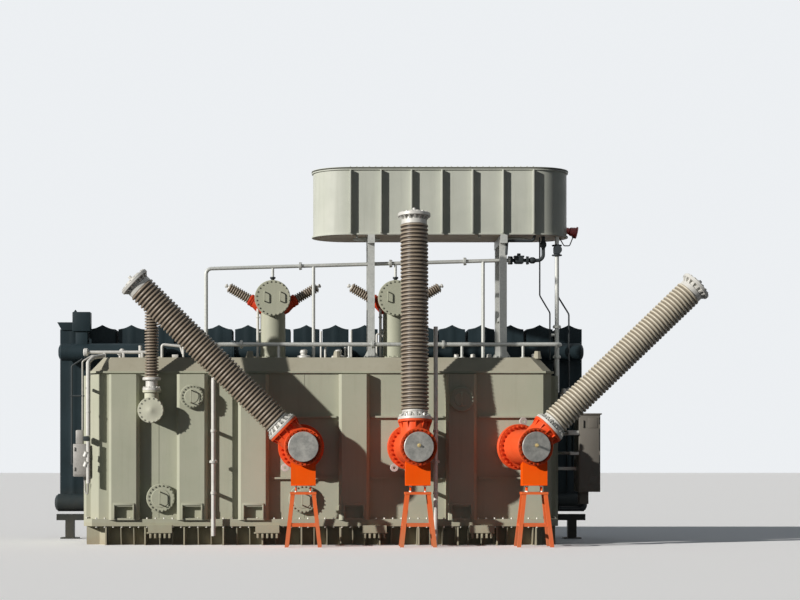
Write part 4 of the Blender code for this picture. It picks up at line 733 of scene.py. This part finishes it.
def round_ended(shape, grow, low, thickness):
    """A plate of the conservator's plan, straight sides and half-round ends, set out by grow."""
    radius = CONSERVATOR_WIDTH / 2 + grow
    outline = []
    for end in (1, -1):
        for i in range(END_STEPS + 1):
            swing = math.pi * (i / END_STEPS - end / 2)
            outline.append((end * STRAIGHT / 2 + radius * math.cos(swing), radius * math.sin(swing)))
    plate(shape, outline, thickness, Matrix.Translation((CONSERVATOR_X, 0, low)))


conservator_paint = weathered_paint(
    "light_grey_green_paint", "b1b4a9", "bbbdb2", "8f9084", 0.45, 0.25, 0, 0.2
)
shape = bmesh.new()
round_ended(shape, 0, CONSERVATOR_LOW, CONSERVATOR_HIGH - CONSERVATOR_LOW)
round_ended(shape, 0.03, CONSERVATOR_LOW, 0.03)
round_ended(shape, 0.03, CONSERVATOR_HIGH - 0.03, 0.03)
for x in spread(7, STRAIGHT):
    for side in (-1, 1):
        middle = (CONSERVATOR_X + x, side * 0.85, (CONSERVATOR_LOW + CONSERVATOR_HIGH) / 2)
        block(shape, (0.03, 0.12, 1.36), middle, 0.003)
for x in (-1.6, 1.6):
    low = Vector((CONSERVATOR_X + x, 0, CONSERVATOR_LOW + 0.01))
    turned(shape, [(0, 0.08), (0.25, 0.04), *rim(0.3, 0.01, 0.04), (0.25, 0.01), (0, 0)], low, (0, 0, -1))
for x in (-1.82, 0.81):
    block(shape, (0.05, 0.1, 0.06), (CONSERVATOR_X + x, -0.7, CONSERVATOR_LOW - 0.028), 0.006)
put("conservator_shell", shape, conservator_paint, "conservator_paint", "conservator_tank")
# The underside was left in a thin primer, which has stained brown in patches. Its pale colour is painted
# light, standing in for light bounced up onto it from the ground.
primer = weathered_paint("brown_primer_painted_pale_for_bounce_light", "b8a894", "cdbfae", "8e5a48", 0.6, 0.3, 0, 0.2)
shape = bmesh.new()
round_ended(shape, -0.01, CONSERVATOR_LOW - 0.005, 0.006)
put("conservator_underside", shape, primer, "conservator_paint")
# A thin black band sticks out just under the rim of the lid: painted shadow, drawn as the dark line of the
# lid's shadow.
black_rubber_and_lid_shadow = weathered_paint("black_rubber_and_painted_lid_shadow", "33342f", "45463f", "222320", 0.7, 0.2, 0, 0.2)
shape = bmesh.new()
round_ended(shape, 0.035, CONSERVATOR_HIGH - 0.004, 0.024)
put("conservator_painted_lid_shadow_line", shape, black_rubber_and_lid_shadow, "cabinet_paint")
shape = bmesh.new()
round_ended(shape, 0.03, CONSERVATOR_HIGH + 0.0005, 0.03)
for x in (-1.9, 0.13, 1.66):
    turned(shape, [(0.1, 0.049), (0.12, 0.03), (0.12, 0)], (CONSERVATOR_X + x, 0, CONSERVATOR_HIGH), UP)
for x in spread(30, STRAIGHT):
    for side in (-1, 1):
        spot = (CONSERVATOR_X + x, side * CONSERVATOR_WIDTH / 2, CONSERVATOR_HIGH + 0.028)
        bolt_ring(shape, spot, UP, 0, 1, 0.03, 0.02)
put("conservator_lid_plate", shape, conservator_paint, "conservator_paint", "conservator_lid")


# Frames: square posts, hot-dip galvanised, carry the conservator; a beam and a rail tie each pair. They
# stand on bolted foot plates with small gussets.
def galvanised_steel(name, dark, light, metallic):
    """Hot-dip zinc: spangles about 15 mm across, drawn 30 mm across so that they show, over dull patches."""
    made, tree, shader, place = finish(name, 0.5, metallic)
    spangle = add(tree, "TexVoronoi", {"Vector": place, "Scale": 1 / 0.03})["Color"]
    flake = add(tree, "SeparateColor", {"Color": spangle})[0]
    patch = add(tree, "TexNoise", {"Vector": place, "Scale": 3, "Detail": 6, "Roughness": 0.6})[0]
    mixed = add(tree, "Mix", {0: 0.7, 2: flake, 3: patch}, data_type="FLOAT")[0]
    tone = add(tree, "Mix", {0: mixed, 6: colour(dark), 7: colour(light)}, data_type="RGBA")[2]
    tree.links.new(tone, shader.inputs["Base Color"])
    sheen = add(tree, "MapRange", {"Value": mixed, "To Min": 0.38, "To Max": 0.62})[0]
    tree.links.new(sheen, shader.inputs["Roughness"])
    return made


zinc_coat = galvanised_steel("hot_dip_galvanised_steel", "9a9c98", "c6c7c1", 0.35)
for name, x in (("left", 1.08), ("right", 3.92)):
    dress(f"conservator_frame_{name}", zinc_coat)
    shape = bmesh.new()
    for y in (-0.6, 0.6):
        for dx, dy in ((-0.12, -0.12), (-0.12, 0.12), (0.12, -0.12), (0.12, 0.12)):
            bolt_ring(shape, (x + dx, y + dy, DECK + 0.03), UP, 0, 1, 0.045, 0.03)
        for side in (-1, 1):
            outline = [(0, 0), (0.09, 0), (0, 0.16)]
            turn = Matrix.Rotation(0 if side > 0 else math.pi, 4, "Z") @ Matrix.Rotation(math.pi / 2, 4, "X")
            plate(shape, outline, 0.012, Matrix.Translation((x + side * 0.075, y, DECK + 0.03)) @ turn)
    put(f"conservator_frame_{name}_feet", shape, zinc_coat, "galvanised")


# Level gauge: a round housing in red stove enamel at the conservator's right end, its dial tipped to be
# read from below. A black spout and a loop of conduit hang under it.
red = mottled("red_stove_enamel", 0.35, 0, 12, 4, "8e1a16", "b02a22")
shape = bmesh.new()
at = (CONSERVATOR_X + CONSERVATOR_LENGTH / 2, 0, CONSERVATOR_LOW + 0.17)
axis = (0.93, 0, -0.2)
turned(shape, [*rim(0.13, 0.2, 0.24), (0.11, 0.2), (0.09, 0.08), (0.07, 0.06), (0.07, -0.02)], at, axis, 32)
put("level_gauge_housing", shape, red, "gauge_red", "level_gauge")
shape = bmesh.new()
block(shape, (0.07, 0.07, 0.09), (5.51, 0, 6.67), 0.01)
pipe(shape, [(5.5, 0, 6.66), (5.42, 0, 6.46), (5.3, 0, 6.46), (5.2, 0, 6.63)], 0.013, 0.04, 8)
# The gauge's black spout and conduit share the black finish of the painted lid shadow line.
put("gauge_spout_and_conduit", shape, black_rubber_and_lid_shadow, "cabinet_paint")


# High pipe: galvanised oil pipe from the cover up over the turrets to the gas relay and the conservator,
# in flanged lengths on thin stays.
PIPE_Y = -0.45
PIPE_START = -2.48
PIPE_LOW = 5.92
PIPE_HIGH = 6.1
RELAY_X = 4.06


def pipe_height(x):
    """Height of the sloping run at x."""
    return PIPE_LOW + (x - PIPE_START) / (RELAY_X - 0.15 - PIPE_START) * (PIPE_HIGH - PIPE_LOW)


def flange_pair(shape, at, axis, radius, thickness=0.022):
    """Two mating flanges with their bolts."""
    axis = Vector(axis)
    for low in (-thickness, 0.003):
        turned(shape, rim(radius, low, low + thickness, 0.003), at, axis, 20)
    bolt_ring(shape, Vector(at) + axis * (thickness + 0.003), axis, radius * 0.78, 6, radius * 0.25, 0.02)


shape = bmesh.new()
route = [
    (PIPE_START, PIPE_Y, DECK),
    (PIPE_START, PIPE_Y, PIPE_LOW),
    (RELAY_X - 0.15, PIPE_Y, PIPE_HIGH),
    (RELAY_X, PIPE_Y, PIPE_HIGH),
]
pipe(shape, route, 0.04, 0.12)
slope = Vector((RELAY_X - PIPE_START, 0, PIPE_HIGH - PIPE_LOW)).normalized()
for x in (-0.45, 1.5, 3.1):
    flange_pair(shape, (x, PIPE_Y, pipe_height(x)), slope, 0.085)
flange_pair(shape, (RELAY_X, PIPE_Y, PIPE_HIGH), (1, 0, 0), 0.09)
for x, radius in ((-0.16, 0.036), (3.5, 0.038)):
    pipe(shape, [(x, PIPE_Y, DECK), (x, PIPE_Y, pipe_height(x))], radius)
    turned(shape, [(0.08, 0.02), (0.08, 0)], (x, PIPE_Y, DECK), UP, 24)
for x in LV_PLACES.values():
    pipe(shape, [(x, PIPE_Y, DECK + 1.68), (x, PIPE_Y, pipe_height(x))], 0.03)
turned(shape, [(0.08, 0.02), (0.08, 0)], (PIPE_START, PIPE_Y, DECK), UP, 24)
put("high_oil_pipe", shape, zinc_coat, "galvanised", "relay_pipe")

# Gas relay and valves: dark painted iron castings with bolted flanges, between the high pipe and the
# conservator, and a cock on each low-voltage turret.
iron = weathered_paint("dark_painted_cast_iron", "2f3436", "3d4244", "1f2120", 0.5, 0.2, 0, 0.2)
shape = bmesh.new()
start = Vector((RELAY_X + 0.003, PIPE_Y, PIPE_HIGH))
block(shape, (0.2, 0.2, 0.17), start + Vector((0.21, 0, 0.01)), 0.03)
block(shape, (0.22, 0.22, 0.03), start + Vector((0.21, 0, 0.08)), 0.006)
turned(shape, [(0.035, 0.05), (0.04, 0.04), (0.04, -0.02)], start + Vector((0.21, 0, 0.1)), UP, 20)
bulge = [(0.045, 0.07), (0.07, 0.03), (0.07, -0.03), (0.045, -0.07)]
turned(shape, bulge, start + Vector((0.5, 0, 0)), (1, 0, 0), 20)
turned(shape, bulge, (4.8, PIPE_Y, 6.44), UP, 20)
route = [(3.98, -0.7, 6.2), (4.0, -0.7, 6.5), (4.55, -0.7, 6.5), (4.6, -0.7, CONSERVATOR_LOW)]
pipe(shape, route, 0.028, 0.06, 12)
pipe(shape, [start, (4.8, PIPE_Y, PIPE_HIGH), (4.8, PIPE_Y, CONSERVATOR_LOW)], 0.04, 0.12)
for x in (0.04, 0.39):
    flange_pair(shape, start + Vector((x, 0, 0)), (1, 0, 0), 0.09)
for x in LV_PLACES.values():
    cock = [(0.06, 0.09), (0.06, 0.06), (0.03, 0.03), (0.07, 0)]
    turned(shape, cock, (x, PIPE_Y, DECK + 1.69), UP, 20)
put("gas_relay_and_valves", shape, iron, "cabinet_paint", "gas_relay")


# Cover pipework: a galvanised pipe along the front of the cover on short legs, and the riser from it to
# the conservator through a large valve.
RISER = (5.1, -0.4)
DECK_PIPE_Y = -1.1

shape = bmesh.new()
z = DECK + 0.29
route = [(-2.9, DECK_PIPE_Y, z), (5.1, DECK_PIPE_Y, z), (*RISER, z), (*RISER, DECK + 0.7)]
pipe(shape, route, 0.045, 0.14)
for x in (-2.6, -0.9, 0.6, 3.0, 4.3):
    pipe(shape, [(x, DECK_PIPE_Y, DECK), (x, DECK_PIPE_Y, z)], 0.03)
    turned(shape, [(0.07, 0.02), (0.07, 0)], (x, DECK_PIPE_Y, DECK), UP, 20)
for x in (-1.7, 1.1, 2.6):
    flange_pair(shape, (x, DECK_PIPE_Y, z), (1, 0, 0), 0.085)
flange_pair(shape, (-2.9, DECK_PIPE_Y, z), (-1, 0, 0), 0.09)
flange_pair(shape, (*RISER, DECK + 0.7), UP, 0.09)
put("cover_oil_pipe", shape, zinc_coat, "galvanised", "deck_pipe")

# Small fittings along the cover, all in thin silver-white paint: a low rail pipe at the left with its
# blind flange, filler domes on short necks, a bent breather pipe, thin posts and capped studs.
shape = bmesh.new()
pipe(shape, [(-4.95, -1.15, DECK + 0.12), (-3.55, -1.15, DECK + 0.12)], 0.036)
turned(shape, rim(0.085, 0, 0.1, 0.02), (-5.05, -1.15, DECK + 0.12), (1, 0, 0), 24)
for x in (-4.6, -4.2, -3.8):
    block(shape, (0.05, 0.08, 0.12), (x, -1.15, DECK + 0.05), 0.005)
for x, y in ((-0.37, -0.95), (0.37, -0.95)):
    dome = [(0, 0.2), (0.05, 0.195), (0.075, 0.17), (0.08, 0.12), (0.065, 0.1), (0.065, 0.07)]
    turned(shape, [*dome, (0.14, 0.05), (0.15, 0.0)], (x, y, DECK), UP, 28)
route = [(-3.4, -0.9, DECK), (-3.4, -0.9, DECK + 0.3), (-3.0, -0.9, DECK + 0.26), (-2.95, -0.9, DECK + 0.1)]
pipe(shape, route, 0.03, 0.05)
block(shape, (0.13, 0.1, 0.07), (-3.1, -1.15, DECK + 0.035), 0.01)
spout = [(0, 0.14), (0.03, 0.135), (0.06, 0.1), (0.06, 0.03), (0.09, 0.02), (0.09, 0)]
turned(shape, spout, (-4.3, -0.8, DECK + 0.1), (0.5, -0.5, 0.7), 20)
pipe(shape, [(-4.3, -0.8, DECK), (-4.3, -0.8, DECK + 0.14)], 0.035)
pipe(shape, [(-3.87, -0.8, DECK), (-3.87, -0.8, DECK + 0.28)], 0.04)
posts = [(-2.93, -1.1, 0.5), (0, -0.6, 0.6), (0.09, -1, 0.24), (0.52, -0.9, 0.24), (0.65, -0.6, 0.62)]
for x, y, top in posts:
    pipe(shape, [(x, y, DECK), (x, y, DECK + top)], 0.022, 0, 12)
route = [(1.46, 0.3, DECK + 0.4), (1.36, 0.3, DECK + 0.55), (1.22, 0.3, DECK + 0.62), (1.22, 0.3, DECK)]
pipe(shape, route, 0.02, 0.04, 12)
for x in (2.9, 3.25, 3.6, 4.55):
    stud = [(0, 0.1), (0.05, 0.09), (0.05, 0.03), (0.08, 0.02), (0.08, 0)]
    turned(shape, stud, (x, -0.85, DECK), UP, 20)
put("cover_fittings", shape, white_metal, "galvanised")
shape = bmesh.new()
pipe(shape, [(*RISER, DECK + 0.7), (*RISER, CONSERVATOR_LOW)], 0.045)
put("conservator_riser_pipe", shape, zinc_coat, "galvanised", "conservator_riser")
shape = bmesh.new()
valve = Vector((*RISER, CONSERVATOR_LOW - 0.3))
body = [(0.05, 0.09), (0.08, 0.06), (0.08, -0.06), (0.05, -0.09)]
turned(shape, [*rim(0.11, 0.09, 0.12), *body, *rim(0.11, -0.12, -0.09)], valve, UP, 24)
turned(shape, [(0.09, 0.2), (0.09, 0.18), (0.02, 0.17), (0.02, 0)], valve, TO_FRONT, 24)
put("riser_valve", shape, iron, "cabinet_paint")


# Front pipes: the drain pipe and the filling pipe, steel tube in the same thin silver-white paint, clipped
# to the front of the tank and joined by a pair of flanges at hand height.
FRONT_PIPE_Y = -1.9
for name, x, rest in (
    ("left", -2.25, [(0.2, FRONT_PIPE_Y), (3.52, FRONT_PIPE_Y), (3.52, TANK_FRONT)]),
    ("right", 2.4, [(0, FRONT_PIPE_Y), (4.58, FRONT_PIPE_Y)]),
):
    shape = bmesh.new()
    pipe(shape, [(x, y, z) for z, y in rest], 0.045, 0.12)
    for z in (1.1, 2.4):
        block(shape, (0.1, 0.3, 0.05), (x, FRONT_PIPE_Y + 0.15, z), 0.004)
        turned(shape, rim(0.06, -0.03, 0.03), (x, FRONT_PIPE_Y, z), UP, 24)
    flange_pair(shape, (x, FRONT_PIPE_Y, 1.75), UP, 0.085)
    put(f"front_pipe_{name}_flanged", shape, white_metal, "galvanised", f"front_pipe_{name}")


# Radiators: eighteen stacks of thin pressed-steel panels with upright flutes, on two long header pipes
# behind the tank. Their dark slate colour is painted shade, as if the whole bank stood in shade; every
# panel rises to a soft peak over its middle.
PITCH = 0.669
PANEL_FRONT = 2.44
PANEL_LOW = 0.88
PANEL_TOP = 4.89
PANEL_SHOULDER = 0.1
PANELS = 24
PANEL_GAP = 0.044
FLUTES = 8
PANEL_HALF = 0.3
PANEL_PEAK = 0.012
STACK_DEPTH = 1.04
HEADER_Y = 2.15
HEADER_HIGH = 4.25

# The dark slate colour is painted shade: the whole bank is drawn as if it stood in shade.
radiator_paint_with_painted_shade = weathered_paint("radiator_paint_darkened_as_painted_shade", "1e292d", "263338", "161c1f", 0.5, 0.3, 0.3, 1.2)
panel = bmesh.new()
outline = []
for i in range(2 * FLUTES + 1):
    x = PANEL_HALF * (i / FLUTES - 1)
    peak = PANEL_PEAK * max(0, 1 - abs(x) / 0.1)
    outline.append((x, (-0.009 if i % 2 else -0.005) - peak))
outline += [(x, -y) for x, y in reversed(outline)]
base = panel.faces.new([panel.verts.new((x, y, PANEL_LOW)) for x, y in outline])
raised = bmesh.ops.extrude_face_region(panel, geom=[base])["geom"]
for corner in [item for item in raised if isinstance(item, bmesh.types.BMVert)]:
    corner.co.z = PANEL_TOP - PANEL_SHOULDER * math.sin(math.pi / 2 * abs(corner.co.x) / PANEL_HALF)
bmesh.ops.recalc_face_normals(panel, faces=panel.faces)
panel_mesh = bpy.data.meshes.new("panel")
panel.to_mesh(panel_mesh)
panel.free()
for bank in range(3):
    middle = (bank - 1) * 6 * PITCH
    shape = bmesh.new()
    for i in range(6):
        x = middle + (i - 2.5) * PITCH
        for row in range(PANELS):
            part = bmesh.new()
            part.from_mesh(panel_mesh)
            join(shape, part, Matrix.Translation((x, PANEL_FRONT + 0.02 + row * PANEL_GAP, 0)))
        for z in (HEADER_HIGH, 0.96):
            pipe(shape, [(x, HEADER_Y, z), (x, PANEL_FRONT + STACK_DEPTH, z)], 0.045)
            turned(shape, rim(0.09, 0, 0.05), (x, HEADER_Y + 0.2, z), (0, 1, 0), 20)
    put(f"radiator_panels_{bank + 1}", shape, radiator_paint_with_painted_shade, "radiator_paint", f"radiator_bank_{bank + 1}")

    shape = bmesh.new()
    for z, inset in ((HEADER_HIGH, 0.11), (0.82, 0.03)):
        starts = middle - 3 * PITCH + (inset if bank == 0 else 0)
        ends = middle + 3 * PITCH - (inset if bank == 2 else 0)
        turned(shape, [(0.2, ends - starts), (0.2, 0)], (starts, HEADER_Y, z), (1, 0, 0))
        for at, out, closed in ((starts, -1, bank == 0), (ends, 1, bank == 2)):
            if closed:
                dish = [(0, 0.08), (0.1, 0.07), (0.16, 0.045), (0.19, 0)]
                turned(shape, dish, (at, HEADER_Y, z), (out, 0, 0))
            else:
                turned(shape, rim(0.27, -0.04, 0), (at, HEADER_Y, z), (out, 0, 0))
                bolt_ring(shape, (at - out * 0.04, HEADER_Y, z), (-out, 0, 0), 0.24, 16, 0.035, 0.03)
        tap = middle + PITCH / 2
        turned(shape, [(0.13, 0.5), (0.13, 0)], (tap, 1.6, z), (0, 1, 0))
        flange_pair(shape, (tap, 1.75, z), (0, 1, 0), 0.19, 0.03)
    if bank == 0:
        block(shape, (0.27, 0.2, 0.5), (-5.45, HEADER_Y, 4.5), 0.01)
        block(shape, (0.41, 0.3, 0.44), (-5.45, HEADER_Y, 4.94), 0.015)
        turned(shape, [(0, 0.07), (0.02, 0.05), (0.05, 0)], (-5.6, HEADER_Y, 5.15), UP, 16)
        hood = [(-6.05, 4.95), (-5.66, 4.95), (-5.66, 4.77), (-5.95, 4.77)]
        upright = Matrix.Rotation(math.pi / 2, 4, "X")
        plate(shape, hood, 1.06, Matrix.Translation((0, PANEL_FRONT + STACK_DEPTH, 0)) @ upright)
    put(f"radiator_headers_{bank + 1}", shape, radiator_paint_with_painted_shade, "radiator_paint")
bpy.data.meshes.remove(panel_mesh)
dress("radiator_stand", radiator_paint_with_painted_shade)


# Left end: a galvanised junction box of folded sheet with a hinged door and a small head on it. A thin
# conduit hangs in a loop below, and a white cable pipe in two lengths climbs the tank's corner.
BOX_Y = -1.26

box_zinc = galvanised_steel("dulled_galvanised_sheet", "8a8782", "a9a6a0", 0.15)
shape = bmesh.new()
x = -5.075
block(shape, (0.31, 0.5, 0.69), (x, BOX_Y, 1.785), 0.012)
block(shape, (0.27, 0.02, 0.62), (x, -1.518, 1.785), 0.006)
block(shape, (0.155, 0.2, 0.3), (x - 0.04, BOX_Y, 2.275), 0.02)
for z in (1.647, 1.958):
    block(shape, (0.2, 0.07, 0.07), (-4.97, BOX_Y, z), 0.004)
for z in (1.6, 2.02):
    block(shape, (0.03, 0.04, 0.08), (x - 0.125, -1.53, z), 0.004)
block(shape, (0.03, 0.03, 0.09), (x + 0.1, -1.535, 1.9), 0.006)
loop = [(-5.02, BOX_Y, 1.46), (-5.0, BOX_Y, 1.09), (-4.93, -1.4, 1.07), (-4.92, -1.45, 1.3)]
pipe(shape, loop, 0.018, 0.05, 12)
put("junction_box_and_loop", shape, box_zinc, "galvanised", "junction_box")
CORNER = (-4.88, -1.79)
shape = bmesh.new()
pipe(shape, [(*CORNER, 1.3), (*CORNER, 2.18)], 0.04)
pipe(shape, [(*CORNER, 2.3), (*CORNER, 3.84), (-4.8, -1.6, 3.95), (-4.6, -1.35, 4.0)], 0.045, 0.05)
turned(shape, hoop(0.052, 0.03, -0.02, 0.02), (*CORNER, 2.8), UP, 20)
cup = [(0, 0.12), (0.05, 0.11), (0.05, 0.02), (0.07, 0), (0, -0.02)]
for z in (1.96, 1.75):
    turned(shape, cup, (-4.91, -1.79, z), (-0.4, 0, -1), 20)
put("corner_cable_pipe", shape, white_metal, "galvanised")
shape = bmesh.new()
block(shape, (0.12, 0.27, 0.1), (-4.93, -1.64, 2.24), 0.006)
block(shape, (0.06, 0.3, 0.05), (-4.9, -1.66, 3.3), 0.004)
put("corner_pipe_clips", shape, iron, "cabinet_paint")
shape = bmesh.new()
pipe(shape, [(-5.1, -0.9, 2.4), (-5.1, -0.9, 3.9), (-4.9, -0.9, 4.02), (-4.7, -0.9, 4.02)], 0.018, 0.06, 12)
put("left_end_conduit", shape, box_zinc, "galvanised")
shape = bmesh.new()
pipe(shape, [(-5.33, -0.9, 1.7), (-5.33, -0.9, 3.8), (-5.1, -0.9, 3.95)], 0.018, 0.06, 12)
pipe(shape, [(-5.37, -0.9, 3.16), (-4.88, -0.9, 3.16)], 0.018, 0, 12)
pipe(shape, [(-5.33, -0.9, 1.7), (-5.1, -0.98, 1.7)], 0.018, 0, 12)
put("left_end_dark_conduit", shape, iron, "cabinet_paint")


# Right end: a warm grey control cabinet of folded sheet with an overhanging roof, hung on brackets, and
# the conduits, the drain pipe and the small valves between it, the cover and the headers.
CABINET_Y = -0.64

cabinet_paint = weathered_paint("warm_grey_cabinet_paint", "68645d", "726e67", "55524c", 0.42, 0.2, 0.2, 1.4)
shape = bmesh.new()
x = 5.72
low, high = 1.11, 2.77
block(shape, (0.46, 0.9, high - low), (x, CABINET_Y, (low + high) / 2), 0.01)
block(shape, (0.52, 0.96, 0.03), (x, CABINET_Y, high), 0.006)
block(shape, (0.42, 0.02, 1.56), (x - 0.005, -1.098, (low + high) / 2), 0.006)
block(shape, (0.2, 0.012, 0.22), (x + 0.07, -1.11, 2.58), 0.004)
block(shape, (0.18, 0.012, 0.18), (x + 0.07, -1.11, 1.36), 0.004)
for z in (1.4, 1.94, 2.5):
    block(shape, (0.02, 0.03, 0.09), (x + 0.21, -1.105, z), 0.004)
block(shape, (0.024, 0.04, 0.16), (x - 0.14, -1.118, 2.56), 0.008)
block(shape, (0.2, 0.24, 0.27), (5.64, CABINET_Y, 0.98), 0.01)
put("control_cabinet_body", shape, cabinet_paint, "cabinet_paint", "control_cabinet")
shape = bmesh.new()
for z in (1.608, 2.355):
    block(shape, (0.44, 0.07, 0.07), (5.28, CABINET_Y, z), 0.004)
block(shape, (0.24, 0.3, 0.1), (5.38, -0.95, 2.37), 0.02)
block(shape, (0.2, 0.2, 0.07), (5.4, -1.0, 1.93), 0.02)
pipe(shape, [(5.1, -0.6, 1.94), (5.35, -1.0, 1.94)], 0.03)
turned(shape, [(0, 0.12), (0.04, 0.11), (0.06, 0.05), (0.06, 0)], (5.2, -0.9, 3.2), UP, 20)
pipe(shape, [(5.12, -0.9, 3.16), (5.26, -0.9, 3.16), (5.26, -0.9, 3.3), (5.36, -0.9, 3.3)], 0.04, 0.05)
put("right_end_fittings", shape, white_metal, "galvanised")
shape = bmesh.new()
pipe(shape, [(*RISER, DECK + 0.3), (*RISER, 3.25)], 0.05)
pipe(shape, [(*RISER, 3.3), (4.86, -0.4, 3.3)], 0.04)
flange_pair(shape, (*RISER, DECK + 0.05), UP, 0.085)
pipe(shape, [(5.36, 1.8, 4.0), (5.36, 1.8, 4.62), (5.22, 1.8, 4.62)], 0.03, 0.05, 12)
put("right_end_drain_pipe", shape, zinc_coat, "galvanised")
shape = bmesh.new()
first = [(4.74, -0.3, 6.62), (4.74, -0.3, 5.35), (4.96, -0.3, 4.98), (4.96, -0.3, DECK)]
second = [(5.14, -0.3, 6.62), (5.14, -0.3, 5.32), (5.37, -0.3, 4.95), (5.37, -0.3, 3.3), (5.1, -0.3, 3.2)]
pipe(shape, first, 0.016, 0.12, 12)
pipe(shape, second, 0.018, 0.12, 12)
pipe(shape, [(5.3, -0.5, 1.2), (5.3, -0.5, 3.1), (5.12, -0.5, 3.2)], 0.016, 0.08, 12)
pipe(shape, [(5.42, -0.5, 1.62), (5.42, -0.5, 2.9), (5.12, -0.5, 3.05)], 0.016, 0.08, 12)
pipe(shape, [(5.64, CABINET_Y, 0.9), (5.64, CABINET_Y, 0.75), (5.12, CABINET_Y, 0.75)], 0.05, 0.08)
put("right_end_conduits", shape, iron, "cabinet_paint")


bpy.context.view_layer.update()
